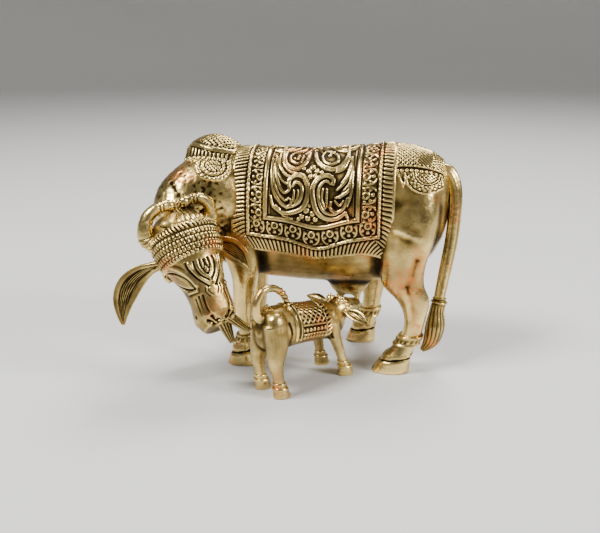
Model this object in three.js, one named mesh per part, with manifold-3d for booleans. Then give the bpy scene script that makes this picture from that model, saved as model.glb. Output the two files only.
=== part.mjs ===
// Small brass figure of a cow that turns her head to lick her calf, cast without a base.
// Millimetres. X runs from the cow's head to her tail, Y away from the viewer, Z up.
// The hooves stand on Z = 0. The viewer's side is -Y, and "far" is +Y.
import * as THREE from 'three';
import { mergeVertices } from 'three/addons/utils/BufferGeometryUtils.js';
import Module from 'manifold-3d';

const wasm = await Module();
wasm.setup();

// Driving dimensions: the middle of the figure's box, and the cloth on the cow's back
const figureMiddle = [-3.86, -11.26];
const clothThickness = 0.75;
const clothFront = -22.2;
const clothRear = 24.2;
const clothMiddle = 1;
const hemDrop = 35.6;
const outerFrame = { front: -17, rear: 19.9, drop: 30.6, sag: 2.6 };
const innerFrame = { front: -12, rear: 14, drop: 25.2, sag: 2 };
const frameWidth = 0.9;
const frameHeight = 0.4;
const scrollWidth = 1.1;
const scrollHeight = 0.5;
const rosetteSpacing = 5;
const fringePitch = 5;
const fringeWidth = 2.1;
const fringeHeight = 0.35;
const fringeLength = 4.6;
const hoofTop = 4.3;
const mergeTolerance = 0.03;

// Trunk from chest to rump: place along X, height of the back, height of the underside, half width
const trunkRows = [
  [-31, 55.5, 41, 5],
  [-28, 59.5, 33.5, 9.8],
  [-23, 62.2, 27.6, 12.4],
  [-15, 62.5, 25, 13.6],
  [-5, 62.2, 24.2, 14.2],
  [5, 62.5, 23.9, 14.4],
  [14, 63.3, 24.1, 14.2],
  [22, 64.3, 25.2, 13.6],
  [28, 64.2, 27.5, 12.8],
  [33.5, 62.7, 31, 11],
  [37.3, 60, 36.5, 7.6],
  [39.2, 56.3, 43, 3.6],
];
const trunkPower = 2.25;

// Legs: height, front edge and back edge along X, distance of the middle from the cow's middle plane, half width
const nearHindLeg = [
  [53, 19, 36.6, 6, 6],
  [46, 18, 36.6, 8, 6.4],
  [39, 19, 35.5, 9.3, 5.8],
  [32, 20.5, 33.4, 10.4, 4.8],
  [26.5, 21, 33.2, 11, 4],
  [22, 25.5, 34.9, 11.3, 3.4],
  [17.5, 27.6, 34.2, 11.5, 2.8],
  [13, 27.7, 33.4, 11.5, 2.5],
  [9.4, 26, 32.2, 11.5, 2.6],
  [6.4, 23.6, 30.8, 11.5, 3.2],
  [hoofTop, 21.4, 30.2, 11.5, 3.7],
  [0, 18.6, 30, 11.5, 4.1],
];
const farHindLeg = [
  [53, 19, 36.6, 6, 6],
  [46, 17, 36.2, 8, 6.4],
  [39, 14.5, 34, 9.3, 5.8],
  [32, 11.5, 29.4, 10.4, 4.8],
  [26.5, 10.8, 24.8, 11, 4],
  [22, 12.8, 22.6, 11.3, 3.4],
  [17.5, 14.3, 21.1, 11.5, 2.8],
  [13, 14.5, 20.3, 11.5, 2.5],
  [9.4, 13.3, 19.4, 11.5, 2.6],
  [6.4, 12, 18.9, 11.5, 3.2],
  [hoofTop, 10.9, 18.8, 11.5, 3.6],
  [0, 9.2, 18.8, 11.5, 4],
];
const nearFrontLeg = [
  [45, -27, -12, 7.5, 5],
  [37, -26.5, -12.8, 9, 5],
  [27.3, -22.8, -14.8, 10.8, 4],
  [19.5, -22.2, -16, 11.6, 3.1],
  [12.5, -20.6, -16.4, 11.8, 2.4],
  [9, -20.9, -16.8, 11.8, 2.4],
  [6.4, -22.1, -17, 11.8, 2.9],
  [hoofTop, -23, -16.4, 11.8, 3.4],
  [0, -24.3, -15.4, 11.8, 4],
];

// Smooth curve through rows of numbers, t from 0 to 1
function rowAt(rows, t) {
  const place = Math.min(Math.max(t, 0), 1) * (rows.length - 1);
  const i = Math.min(Math.floor(place), rows.length - 2);
  const f = place - i;
  const pick = (k) => rows[Math.min(Math.max(k, 0), rows.length - 1)];
  const [a, b, c, d] = [pick(i - 1), pick(i), pick(i + 1), pick(i + 2)];
  return b.map((v, k) => v + 0.5 * f * (c[k] - a[k]
    + f * (2 * a[k] - 5 * v + 4 * c[k] - d[k]
    + f * (3 * (v - c[k]) + d[k] - a[k]))));
}

// Sine or cosine pulled towards a rounded square
function squared(value, exponent) {
  return Math.sign(value) * Math.abs(value) ** (2 / exponent);
}

function bell(x, middle, width) {
  return Math.exp(-(((x - middle) / width) ** 2));
}

// Closed skin over a row of sections. placeAt(t, c, s) is the point of section t at cosine c and sine s
function skin(around, along, placeAt) {
  const geometry = new THREE.SphereGeometry(1, around, along);
  const position = geometry.attributes.position;
  for (let row = 0; row <= along; row++) {
    const t = Math.min(Math.max((row - 1) / (along - 2), 0), 1);
    const pole = row === 0 || row === along;
    for (let i = 0; i <= around; i++) {
      const angle = ((i % around) / around) * 2 * Math.PI;
      const point = pole ? placeAt(t, 0, 0) : placeAt(t, -Math.cos(angle), Math.sin(angle));
      position.setXYZ(row * (around + 1) + i, point.x, point.y, point.z);
    }
  }
  return geometry;
}

// Limb along a curved line. Rows hold x, y, z, half width to the side, half depth. Cup lifts the edges
function limb(rows, around, along, side, shape = {}) {
  const sideways = new THREE.Vector3(...side);
  const exponent = shape.exponent ?? 2;
  return skin(around, along, (t, c, s) => {
    const [x, y, z, a, b] = rowAt(rows, t);
    const before = new THREE.Vector3(...rowAt(rows, t - 0.02));
    const tangent = new THREE.Vector3(...rowAt(rows, t + 0.02)).sub(before).normalize();
    const across = sideways.clone().addScaledVector(tangent, -sideways.dot(tangent)).normalize();
    const up = tangent.clone().cross(across);
    return new THREE.Vector3(x, y, z)
      .addScaledVector(across, a * squared(c, exponent))
      .addScaledVector(up, b * squared(s, exponent) + (shape.cup ?? 0) * a * c * c);
  });
}

// Leg with level sections, side -1 towards the viewer and 1 away
function leg(rows, side, along) {
  return skin(8, along, (t, c, s) => {
    const [z, front, back, away, half] = rowAt(rows, t);
    const middle = (front + back) / 2;
    const reach = (back - front) / 2;
    return new THREE.Vector3(middle + reach * squared(c, 2.3), side * away - half * squared(s, 2.3), z);
  });
}

// Ring of an anklet: the leg's own sections between two heights, a little larger
function anklet(rows, side, low, high, proud) {
  const levels = [high, (high + low) / 2, low];
  return skin(8, 4, (t, c, s) => {
    const z = high + (low - high) * t;
    const i = rows.findIndex((row, k) => k > 0 && row[0] <= z);
    const part = (i - 1 + (rows[i - 1][0] - z) / (rows[i - 1][0] - rows[i][0])) / (rows.length - 1);
    const [, front, back, away, half] = rowAt(rows, part);
    const swell = proud * (z === levels[1] ? 1.3 : 1);
    const reach = (back - front) / 2 + swell;
    return new THREE.Vector3((front + back) / 2 + reach * c, side * away - (half + swell) * s, z);
  });
}

// Six times the volume inside the faces, negative where they point inwards
function facing(position, index) {
  const [a, b, c] = [new THREE.Vector3(), new THREE.Vector3(), new THREE.Vector3()];
  let sum = 0;
  for (let i = 0; i < index.length; i += 3) {
    a.fromBufferAttribute(position, index[i]);
    b.fromBufferAttribute(position, index[i + 1]);
    c.fromBufferAttribute(position, index[i + 2]);
    sum += a.dot(b.cross(c));
  }
  return sum;
}

// Solid from a closed geometry, with its faces turned outwards
function solid(geometry) {
  geometry.deleteAttribute('normal');
  geometry.deleteAttribute('uv');
  const merged = mergeVertices(geometry, 1e-4);
  const triangles = new Uint32Array(merged.index.array);
  if (facing(merged.attributes.position, triangles) < 0) {
    for (let i = 0; i < triangles.length; i += 3) {
      [triangles[i], triangles[i + 1]] = [triangles[i + 1], triangles[i]];
    }
  }
  return new wasm.Manifold(new wasm.Mesh({
    numProp: 3,
    vertProperties: new Float32Array(merged.attributes.position.array),
    triVerts: triangles,
  }));
}

function joined(geometries) {
  return geometries.map(solid).reduce((whole, piece) => whole.add(piece)).simplify(mergeTolerance);
}

// Trunk and the cloth that lies on it
function trunkAt(x) {
  let i = 1;
  while (i < trunkRows.length - 1 && trunkRows[i][0] < x) {
    i++;
  }
  const [x0, x1] = [trunkRows[i - 1][0], trunkRows[i][0]];
  return rowAt(trunkRows, (i - 1 + (x - x0) / (x1 - x0)) / (trunkRows.length - 1));
}

// Point of the trunk's skin: angle 0 on the spine, positive on the viewer's side
function onTrunk(x, angle, lift = 0) {
  const [, top, bottom, half] = trunkAt(x);
  const depth = (top - bottom) / 2;
  const y = squared(Math.sin(angle), trunkPower);
  const z = squared(Math.cos(angle), trunkPower);
  const steep = (value, size) => (Math.sign(value) * Math.abs(value) ** (trunkPower - 1)) / size;
  const normal = new THREE.Vector2(steep(y, half), steep(z, depth)).normalize();
  const height = (top + bottom) / 2 + depth * z + lift * normal.y;
  return new THREE.Vector3(x, -(half * y + lift * normal.x), height);
}

// Angle of each half millimetre down the trunk's side, measured on the middle section
const dropStep = 0.5;
const dropAngles = [0];
{
  const measured = 5;
  const turn = 0.001;
  let length = 0;
  let last = onTrunk(measured, 0);
  for (let angle = turn; angle < 2.6; angle += turn) {
    const next = onTrunk(measured, angle);
    length += next.distanceTo(last);
    last = next;
    if (length >= dropAngles.length * dropStep) {
      dropAngles.push(angle);
    }
  }
}

// Point on the cloth: drop is the way down from the spine, negative on the far side
function onCloth(x, drop, lift) {
  const place = Math.abs(drop) / dropStep;
  const i = Math.min(Math.floor(place), dropAngles.length - 2);
  const angle = dropAngles[i] + (place - i) * (dropAngles[i + 1] - dropAngles[i]);
  return onTrunk(x, Math.sign(drop) * angle, lift);
}

function hemAt(x) {
  const rearCorner = 4.2 * (Math.max(x - 14, 0) / 10) ** 2;
  const frontCorner = 1.2 * (Math.max(-14 - x, 0) / 8) ** 2;
  return hemDrop + 1.2 * bell(x, 2, 7) + rearCorner + frontCorner;
}

function frameDrop(frame, x) {
  return frame.drop + frame.sag * bell(x, clothMiddle + 2, 6.5);
}

function trunk() {
  return skin(16, 13, (t, c, s) => {
    const [x, top, bottom, half] = rowAt(trunkRows, t);
    const depth = (top - bottom) / 2;
    const rise = depth * squared(s, trunkPower);
    return new THREE.Vector3(x, half * squared(c, trunkPower), (top + bottom) / 2 + rise);
  });
}

function cloth() {
  const geometry = new THREE.BoxGeometry(1, 1, 1, 9, 14, 1);
  const position = geometry.attributes.position;
  for (let i = 0; i < position.count; i++) {
    const x = clothFront + (position.getX(i) + 0.5) * (clothRear - clothFront);
    const drop = -2 * position.getY(i) * hemAt(x);
    const lift = position.getZ(i) > 0 ? clothThickness : -0.6;
    const point = onCloth(x, drop, lift);
    position.setXYZ(i, point.x, point.y, point.z);
  }
  return geometry;
}

// Raised strip with square edges along points of the cloth, each point holding x and drop
function strip(points, width, height, steps, side, taper = 0) {
  const geometry = new THREE.BoxGeometry(1, 1, 1, steps, 1, 1);
  const position = geometry.attributes.position;
  for (let i = 0; i < position.count; i++) {
    const t = position.getX(i) + 0.5;
    const [x, drop] = rowAt(points, t);
    const before = rowAt(points, t - 0.03);
    const after = rowAt(points, t + 0.03);
    const run = new THREE.Vector2(after[0] - before[0], after[1] - before[1]).normalize();
    const reach = position.getY(i) * width * (1 - taper * t);
    const lift = clothThickness + (position.getZ(i) > 0 ? height : -0.5);
    const point = onCloth(x - run.y * reach, side * (drop + run.x * reach), lift);
    position.setXYZ(i, point.x, point.y, point.z);
  }
  return geometry;
}

// Frame line: down the front, along the bottom and up the rear
function frameLine(frame, side) {
  const parts = [];
  const across = [];
  for (let k = 0; k <= 6; k++) {
    const x = frame.front + ((frame.rear - frame.front) * k) / 6;
    across.push([x, frameDrop(frame, x)]);
  }
  for (const x of [frame.front, frame.rear]) {
    const low = frameDrop(frame, x);
    const down = [0, 0.25, 0.5, 0.75, 1].map((t) => [x, t * low]);
    parts.push(strip(down, frameWidth, frameHeight, 4, side));
  }
  parts.push(strip(across, frameWidth, frameHeight, 5, side));
  return parts;
}

// Short ridges of the fringe, square to the cloth's edge
function fringe(side) {
  const parts = [];
  for (const [edge, inward] of [[clothFront, 1], [clothRear, -1]]) {
    for (let drop = 1.2; drop < outerFrame.drop + 2; drop += fringePitch) {
      const slope = 0.12 * Math.max(drop - 20, 0);
      const ends = [[edge + inward * 0.2, drop + slope], [edge + inward * 0.9 * fringeLength, drop]];
      parts.push(strip(ends, fringeWidth, fringeHeight, 1, side));
    }
  }
  for (let x = clothFront + 2.6; x < clothRear - 1.5; x += fringePitch) {
    const topDrop = Math.max(frameDrop(outerFrame, x) + frameWidth, hemAt(x) - fringeLength);
    const top = [clothMiddle + (x - clothMiddle) * 0.9, topDrop];
    parts.push(strip([top, [x, hemAt(x) - 0.2]], fringeWidth, fringeHeight, 1, side));
  }
  return parts;
}

// Places of the rosettes between the two frame lines
function rosettePlaces() {
  const places = [];
  const sideRows = Math.round(innerFrame.drop / rosetteSpacing);
  for (let k = 1; k <= sideRows; k++) {
    const drop = (k - 0.2) * rosetteSpacing;
    places.push([(outerFrame.front + innerFrame.front) / 2, drop]);
    places.push([(outerFrame.rear + innerFrame.rear) / 2, drop]);
  }
  const first = (outerFrame.front + innerFrame.front) / 2;
  const last = (outerFrame.rear + innerFrame.rear) / 2;
  const count = Math.round((last - first) / rosetteSpacing);
  for (let k = 0; k <= count; k++) {
    const x = first + ((last - first) * k) / count;
    places.push([x, (frameDrop(outerFrame, x) + frameDrop(innerFrame, x)) / 2]);
  }
  return places;
}

function rosettes(side) {
  return rosettePlaces().map(([x, drop]) => {
    const geometry = new THREE.CylinderGeometry(1, 2.1, 1, 4);
    const position = geometry.attributes.position;
    for (let i = 0; i < position.count; i++) {
      const lift = clothThickness + (position.getY(i) > 0 ? 0.45 : -0.5);
      const point = onCloth(x + position.getZ(i), side * drop + position.getX(i), lift);
      position.setXYZ(i, point.x, point.y, point.z);
    }
    return geometry;
  });
}

function spiral(middle, startRadius, endRadius, startAngle, endAngle) {
  const points = [];
  for (let k = 0; k <= 8; k++) {
    const angle = startAngle + ((endAngle - startAngle) * k) / 8;
    const radius = startRadius + ((endRadius - startRadius) * k) / 8;
    points.push([middle[0] + radius * Math.cos(angle), middle[1] + radius * Math.sin(angle)]);
  }
  return points;
}

// Leaf scrolls of the panel, drawn for the half towards the head. The other half is their mirror image
function scrolls(side) {
  const half = [
    { points: spiral([-3, 8], 4, 1.6, 3.3, -2.2), steps: 8 },
    {
      points: [[-9, 21.6], [-5.6, 23.6], [-1.9, 21.4], [-0.1, 17], [-1.2, 13.2], [-3.6, 12.4], [-5.2, 14.4]],
      steps: 8,
    },
    { points: [[-10.2, 4], [-10.4, 11], [-9.2, 17.6], [-6.6, 19.6], [-5.2, 17.6]], steps: 6 },
    { points: [[-8.6, 3.4], [-8.4, 9], [-7.2, 13], [-5.4, 13.6]], steps: 4 },
  ];
  const parts = [];
  for (const { points, steps } of half) {
    const mirrored = points.map(([x, drop]) => [2 * clothMiddle - x, drop + 0.4]);
    parts.push(strip(points, scrollWidth, scrollHeight, steps, side, 0.4));
    parts.push(strip(mirrored, scrollWidth, scrollHeight, steps, side, 0.4));
  }
  parts.push(strip([[clothMiddle, 10], [clothMiddle, 13.4]], 2.2, scrollHeight, 1, side));
  parts.push(strip([[clothMiddle - 2.6, 24.4], [clothMiddle + 2.6, 24.6]], 2, scrollHeight, 2, side));
  return parts;
}

// Cow's hump, neck, tail and udder
function hump() {
  const rows = [
    [-20.5, 0, 56, 5, 4.6],
    [-24, -0.4, 56.2, 7.8, 8.7],
    [-28.5, -0.8, 56, 8.6, 10.3],
    [-32.5, -1.6, 55.4, 7.8, 9.4],
    [-35.6, -2.6, 54.4, 4.8, 6],
  ];
  return limb(rows, 10, 7, [0, 1, 0]);
}

function neck() {
  const rows = [
    [-18, 0, 47.5, 11.6, 13.6],
    [-24, -1.4, 48, 12.2, 13.8],
    [-28.5, -4.4, 48.8, 12, 13.2],
    [-32.5, -7.8, 48.4, 10.6, 12.2],
    [-35.4, -11.6, 47.4, 8.8, 10],
    [-36.6, -15, 45.6, 7.2, 7.8],
    [-36, -18, 43.4, 5.6, 6],
  ];
  return limb(rows, 12, 9, [0, 1, 0]);
}

// Loose skin of the throat, from the chest up to the jaw
function dewlap() {
  const rows = [
    [-24, -1, 31.6, 3.4, 4],
    [-28.5, -4, 33.4, 2.6, 4.6],
    [-32.5, -8.5, 35.6, 2.2, 4.4],
    [-34.8, -13, 38, 1.8, 3.4],
    [-34.8, -16.5, 40, 1.2, 2],
  ];
  return limb(rows, 7, 6, [0.6, -0.8, 0]);
}

function tail() {
  const rows = [
    [35.5, 0, 57.6, 2.6, 2.4],
    [38.8, -0.8, 57, 2.2, 2.1],
    [40.7, -1.8, 53, 1.9, 1.9],
    [41, -2.8, 47, 1.85, 1.85],
    [40.4, -3.8, 38, 1.8, 1.8],
    [39, -5, 29, 1.7, 1.7],
    [37.6, -6.6, 20.4, 1.5, 1.5],
  ];
  return limb(rows, 7, 10, [0, 1, 0]);
}

function tuft() {
  const rows = [
    [37.8, -6.4, 21.6, 1.5, 1.4],
    [37.7, -6.6, 20, 2.1, 2],
    [37.2, -7, 17.2, 2, 2],
    [36.9, -7.8, 13, 2.9, 2.7],
    [35.8, -8.2, 8.6, 2.4, 2.1],
    [33.4, -8.4, 5.4, 0.5, 0.5],
  ];
  return limb(rows, 7, 8, [0, 1, 0]);
}

function udder() {
  const bag = [
    [11, 0, 27.5, 5.6, 6.8],
    [11, 0, 24.5, 5.6, 6.6],
    [11.1, 0, 22, 5.1, 5.8],
    [11.2, 0, 20.3, 3.8, 4.2],
    [11.2, 0, 19.6, 1.8, 2],
  ];
  const parts = [limb(bag, 9, 6, [0, 1, 0])];
  for (const [x, y] of [[8.6, -2.6], [8.6, 2.6], [13.6, -2.4], [13.6, 2.4]]) {
    const teat = [
      [x, y, 21, 1.2, 1.2],
      [x, y, 18.6, 1, 1],
      [x, y, 16.6, 0.6, 0.6],
    ];
    parts.push(limb(teat, 5, 4, [0, 1, 0]));
  }
  return parts;
}

// Head frame: poll between the horns, axis down the face, side to the cow's left, front out of the forehead
const poll = new THREE.Vector3(-34.3, -22.5, 42.4);
const muzzle = new THREE.Vector3(-21.9, -33.2, 21.2);
const headAxis = muzzle.clone().sub(poll).normalize();
const headLength = muzzle.distanceTo(poll);
const headSide = new THREE.Vector3(0.763, 0.626, 0.16);
headSide.addScaledVector(headAxis, -headSide.dot(headAxis)).normalize();
const headFront = headSide.clone().cross(headAxis).normalize();

// Point in the head: along the face from poll to muzzle, to the cow's left, out of the forehead, and higher
function inHead(along, left, out, rise = 0) {
  return poll.clone().addScaledVector(headAxis, along * headLength)
    .addScaledVector(headSide, left).addScaledVector(headFront, out).add(new THREE.Vector3(0, 0, rise));
}

function rowsInHead(rows) {
  return rows.map(([along, left, out, rise, a, b]) => [...inHead(along, left, out, rise).toArray(), a, b]);
}

const faceRows = [
  [-0.18, 0, -2, 0, 3.5, 3],
  [-0.12, 0, -1.2, 0, 7, 5.6],
  [0.02, 0, -0.6, 0, 8.8, 7.6],
  [0.2, 0, -0.6, 0, 9, 8.2],
  [0.38, 0, -1.2, 0, 7.9, 7.8],
  [0.58, 0, -1.6, 0, 6, 6.6],
  [0.78, 0, -1.2, 0, 5.4, 5.9],
  [0.95, 0, -0.4, 0, 5.8, 5.6],
  [1.07, 0, -0.6, 0, 4.4, 4.4],
];

function head() {
  return limb(rowsInHead(faceRows), 12, 10, headSide.toArray(), { exponent: 2.2 });
}

function headband() {
  const rows = rowsInHead([
    [0, 0, -0.6, 0, 8.8, 7.6],
    [0.04, 0, -0.6, 0, 9.6, 8.4],
    [0.2, 0, -0.6, 0, 9.7, 8.9],
    [0.34, 0, -0.6, 0, 8.5, 8.3],
  ]);
  const pendant = rowsInHead([
    [0.3, 0, 7.2, 0, 3.4, 1],
    [0.38, 0, 7, 0, 3, 1],
    [0.47, 0, 6.4, 0, 1, 0.8],
  ]);
  return [limb(rows, 12, 5, headSide.toArray(), { exponent: 2.2 }), limb(pendant, 6, 4, headSide.toArray())];
}

function horn(left) {
  const rows = rowsInHead([
    [0.04, left * 7, 1, 0, 2.9, 2.9],
    [0, left * 9.2, 1, 1, 2.7, 2.7],
    [-0.02, left * 9.8, 0.6, 3.2, 2.1, 2.1],
    [-0.04, left * 8.8, 0.2, 5.6, 1.8, 1.8],
    [-0.04, left * 6.2, 0.2, 7.4, 1.6, 1.6],
    [-0.04, left * 3.2, 0.8, 7.8, 1.5, 1.5],
    [-0.04, left * 2.2, 1, 7.6, 0.9, 0.9],
  ]);
  return limb(rows, 7, 10, [0.2, 0.3, 1]);
}

// Leaf-shaped ear from its root to its tip, bowed through the middle point
function ear(root, middle, tip, width, side) {
  const shares = [[0, 0.42, 1.5], [0.14, 0.5, 1.3], [0.32, 0.85, 0.8], [0.52, 1, 0.7], [0.72, 0.86, 0.6],
    [0.9, 0.45, 0.5], [1, 0.12, 0.3]];
  const curve = new THREE.QuadraticBezierCurve3(root, middle, tip);
  const rows = shares.map(([t, wide, thick]) => [...curve.getPoint(t).toArray(), width * wide, thick]);
  return limb(rows, 6, 8, side, { cup: 0.35 });
}

function ears() {
  const right = ear(new THREE.Vector3(-37.6, -28, 35), new THREE.Vector3(-50.6, -30.5, 31.8),
    new THREE.Vector3(-48.2, -33.5, 18.6), 3.3, [0.75, 0.2, -0.6]);
  const left = ear(new THREE.Vector3(-27.4, -17.5, 38), new THREE.Vector3(-19.5, -19, 39.5),
    new THREE.Vector3(-15.6, -20, 32), 3, [0.5, 0.2, 0.8]);
  return [right, left];
}

function eye(left) {
  const geometry = new THREE.SphereGeometry(1, 7, 5);
  const centre = inHead(0.36, left * 6.6, 3.6);
  const out = headSide.clone().multiplyScalar(left).addScaledVector(headFront, 0.6).normalize();
  const across = out.clone().cross(headAxis).normalize();
  const position = geometry.attributes.position;
  for (let i = 0; i < position.count; i++) {
    const point = centre.clone().addScaledVector(headAxis, position.getY(i) * 2.2)
      .addScaledVector(across, position.getX(i) * 1.3).addScaledVector(out, position.getZ(i) * 1.3);
    position.setXYZ(i, point.x, point.y, point.z);
  }
  return geometry;
}

// Tongue that reaches for the calf, and the lower jaw under it
const tongueTip = new THREE.Vector3(-12.9, -33.2, 18.6);

function mouth() {
  const root = inHead(0.86, 0, -2.4);
  const tongue = [0, 0.4, 0.75, 1].map((t, k) => [...root.clone().lerp(tongueTip, t).toArray(),
    [1.8, 1.5, 1.2, 0.7][k], [1, 0.8, 0.6, 0.4][k]]);
  const jawRoot = inHead(0.7, 0, -4.2);
  const jawTip = new THREE.Vector3(-17.6, -34, 15.4);
  const jaw = [0, 0.4, 0.8, 1].map((t, k) => [...jawRoot.clone().lerp(jawTip, t).toArray(),
    [3.4, 2.6, 1.6, 0.7][k], [1.4, 1, 0.7, 0.4][k]]);
  return [limb(tongue, 6, 5, headSide.toArray()), limb(jaw, 6, 5, headSide.toArray())];
}

// Round plate of cast ornament, turned to face out of the body
function medallion(centre, facingOut, radius, thickness) {
  const geometry = new THREE.CylinderGeometry(radius * 0.92, radius, thickness, 9);
  const upright = new THREE.Vector3(0, 1, 0);
  const turn = new THREE.Quaternion().setFromUnitVectors(upright, facingOut.clone().normalize());
  geometry.applyQuaternion(turn);
  geometry.translate(centre.x, centre.y, centre.z);
  return geometry;
}

function ornaments() {
  const parts = [];
  for (const side of [-1, 1]) {
    const shoulder = new THREE.Vector3(-28.6, side * 11.6 - 2, 55.6);
    const rump = new THREE.Vector3(32.6, side * 9.7, 56.4);
    parts.push(medallion(shoulder, new THREE.Vector3(-0.1, side, 0.75), 4.6, 2));
    parts.push(medallion(shoulder, new THREE.Vector3(-0.1, side, 0.75), 2.2, 2.9));
    parts.push(medallion(rump, new THREE.Vector3(0.3, side, 0.7), 4.8, 2));
    parts.push(medallion(rump, new THREE.Vector3(0.3, side, 0.7), 2.4, 2.9));
  }
  return parts;
}

// Calf frame: along her body from the middle between her hind hooves, to her right, and up
const calfBack = new THREE.Vector3(-7.6, -31, 0);
const calfFront = new THREE.Vector3(7.4, -13, 0);
const calfAhead = calfFront.clone().sub(calfBack).normalize();
const calfRight = new THREE.Vector3(calfAhead.y, -calfAhead.x, 0);

function inCalf(ahead, right, height) {
  return calfBack.clone().addScaledVector(calfAhead, ahead)
    .addScaledVector(calfRight, right).add(new THREE.Vector3(0, 0, height));
}

function rowsInCalf(rows) {
  return rows.map(([ahead, right, height, ...sizes]) => [...inCalf(ahead, right, height).toArray(), ...sizes]);
}

const calfTrunkRows = [
  [-4.2, 0, 19.6, 1.5, 2],
  [-2.8, 0, 19.4, 4.2, 5],
  [1, 0, 18.7, 5.2, 6.3],
  [6.5, 0, 18, 5.2, 5.8],
  [12.5, 0, 17.2, 5.2, 5.4],
  [19, 0, 16.4, 5.2, 5.5],
  [23.6, 0, 16, 4.4, 5],
  [26.4, 0, 16, 2, 2.4],
];

function calfBody() {
  const neckRows = [
    [19, 0, 16.4, 4.2, 4.4],
    [22, 0, 17.2, 3.7, 3.9],
    [24.4, 0.2, 18.2, 3.1, 3.3],
    [26, 0.4, 18.6, 2.5, 2.7],
  ];
  const headRows = [
    [21.6, 0.4, 18.2, 2.4, 2],
    [23.2, 0.4, 18.8, 3.6, 3.1],
    [26, 0.4, 18.8, 3.6, 3.2],
    [29.4, 0.5, 18.4, 2.6, 2.5],
    [32.2, 0.6, 18.4, 2.1, 1.9],
    [33.4, 0.6, 18.4, 1, 1],
  ];
  const tailRows = [
    [-3, 0, 22, 1.5, 1.5],
    [-4.8, 0, 23.6, 1.3, 1.3],
    [-5, 0, 27, 1.15, 1.15],
    [-2.6, 0, 30, 1.1, 1.1],
    [1, 0, 30, 1, 1],
    [4.2, 0, 27.8, 0.9, 0.9],
    [6, 0, 24.4, 0.7, 0.7],
  ];
  return [
    limb(rowsInCalf(calfTrunkRows), 12, 9, calfRight.toArray()),
    limb(rowsInCalf(neckRows), 8, 5, calfRight.toArray()),
    limb(rowsInCalf(headRows), 8, 7, calfRight.toArray()),
    limb(rowsInCalf(tailRows), 6, 10, calfRight.toArray()),
  ];
}

function calfLeg(rows) {
  return skin(7, rows.length + 1, (t, c, s) => {
    const [ahead, right, height, a, b] = rowAt(rows, t);
    return inCalf(ahead - b * s, right + a * c, height);
  });
}

function calfLegs() {
  const parts = [];
  for (const side of [-1, 1]) {
    parts.push(calfLeg([
      [-0.5, side * 2.6, 21, 2.6, 4],
      [-0.5, side * 3.2, 15, 2.5, 3.6],
      [-1.4, side * 3.7, 10, 1.9, 2.4],
      [-1, side * 4, 6, 1.6, 1.6],
      [-0.6, side * 4, 3.8, 1.6, 1.6],
      [-0.2, side * 4, 2.4, 2, 2.1],
      [0.3, side * 4, 0, 2.2, 2.7],
    ]));
    parts.push(calfLeg([
      [19.4, side * 3.2, 17, 2.2, 2.6],
      [20.6, side * 3.8, 12, 1.9, 2],
      [22, side * 4.4, 7.4, 1.5, 1.5],
      [23, side * 4.8, 4, 1.4, 1.4],
      [23.6, side * 5, 2.4, 1.9, 2],
      [24, side * 5, 0, 2.1, 2.6],
    ]));
  }
  return parts;
}

function calfEars() {
  const side = [0.5, 0.6, 0.6];
  const right = ear(inCalf(24.6, 2.9, 18.2), inCalf(25.6, 7.2, 18.6), inCalf(26, 11.4, 16.4), 1.8, side);
  const left = ear(inCalf(23.8, -2.6, 19.6), inCalf(23, -6, 21.4), inCalf(21.6, -9, 20.8), 1.5, side);
  return [right, left];
}

// Blanket over the calf's back with a raised band at its rear and front edges
const blanketReach = 2.05;
const blanketSheets = [
  { proud: 0.5, from: 4.5, to: 17.5, steps: 3 },
  { proud: 0.9, from: 5, to: 6.2, steps: 1 },
  { proud: 0.9, from: 15.8, to: 17, steps: 1 },
];

function calfBlanket() {
  const sections = [];
  for (const { proud, from: low, to: high, steps } of blanketSheets) {
    const geometry = new THREE.BoxGeometry(1, 1, 1, steps, 8, 1);
    const position = geometry.attributes.position;
    for (let i = 0; i < position.count; i++) {
      const ahead = low + (position.getX(i) + 0.5) * (high - low);
      const part = calfTrunkRows.findIndex((row, k) => k > 0 && row[0] >= ahead);
      const [from, to] = [calfTrunkRows[part - 1][0], calfTrunkRows[part][0]];
      const t = (part - 1 + (ahead - from) / (to - from)) / (calfTrunkRows.length - 1);
      const [, , height, a, b] = rowAt(calfTrunkRows, t);
      const lift = position.getZ(i) > 0 ? proud : -0.5;
      const angle = position.getY(i) * 2 * blanketReach;
      const point = inCalf(ahead, (a + lift) * Math.sin(angle), height + (b + lift) * Math.cos(angle));
      position.setXYZ(i, point.x, point.y, point.z);
    }
    sections.push(geometry);
  }
  return sections;
}

function cowCasting() {
  const parts = [trunk(), hump(), neck(), dewlap(), head(), tail(), tuft(), cloth()];
  parts.push(horn(1), horn(-1), eye(1), eye(-1));
  parts.push(...headband(), ...ears(), ...mouth(), ...udder(), ...ornaments());
  for (const side of [-1, 1]) {
    const hind = side < 0 ? nearHindLeg : farHindLeg;
    parts.push(leg(hind, side, 13), leg(nearFrontLeg, side, 10));
    parts.push(anklet(hind, side, 8.6, 11.4, 0.55), anklet(nearFrontLeg, side, 7.2, 9.4, 0.5));
    parts.push(...frameLine(outerFrame, side), ...rosettes(side));
  }
  parts.push(...frameLine(innerFrame, 1), ...fringe(1), ...scrolls(1));
  return joined(parts);
}

function calfCasting() {
  return joined([...calfBody(), ...calfLegs(), ...calfEars(), ...calfBlanket()]);
}

function meshOf(body, name, material) {
  const mesh = body.getMesh();
  const geometry = new THREE.BufferGeometry();
  geometry.setAttribute('position', new THREE.BufferAttribute(mesh.vertProperties, 3));
  geometry.setIndex(new THREE.BufferAttribute(mesh.triVerts, 1));
  geometry.computeVertexNormals();
  const result = new THREE.Mesh(geometry, material);
  result.name = name;
  return result;
}

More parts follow.
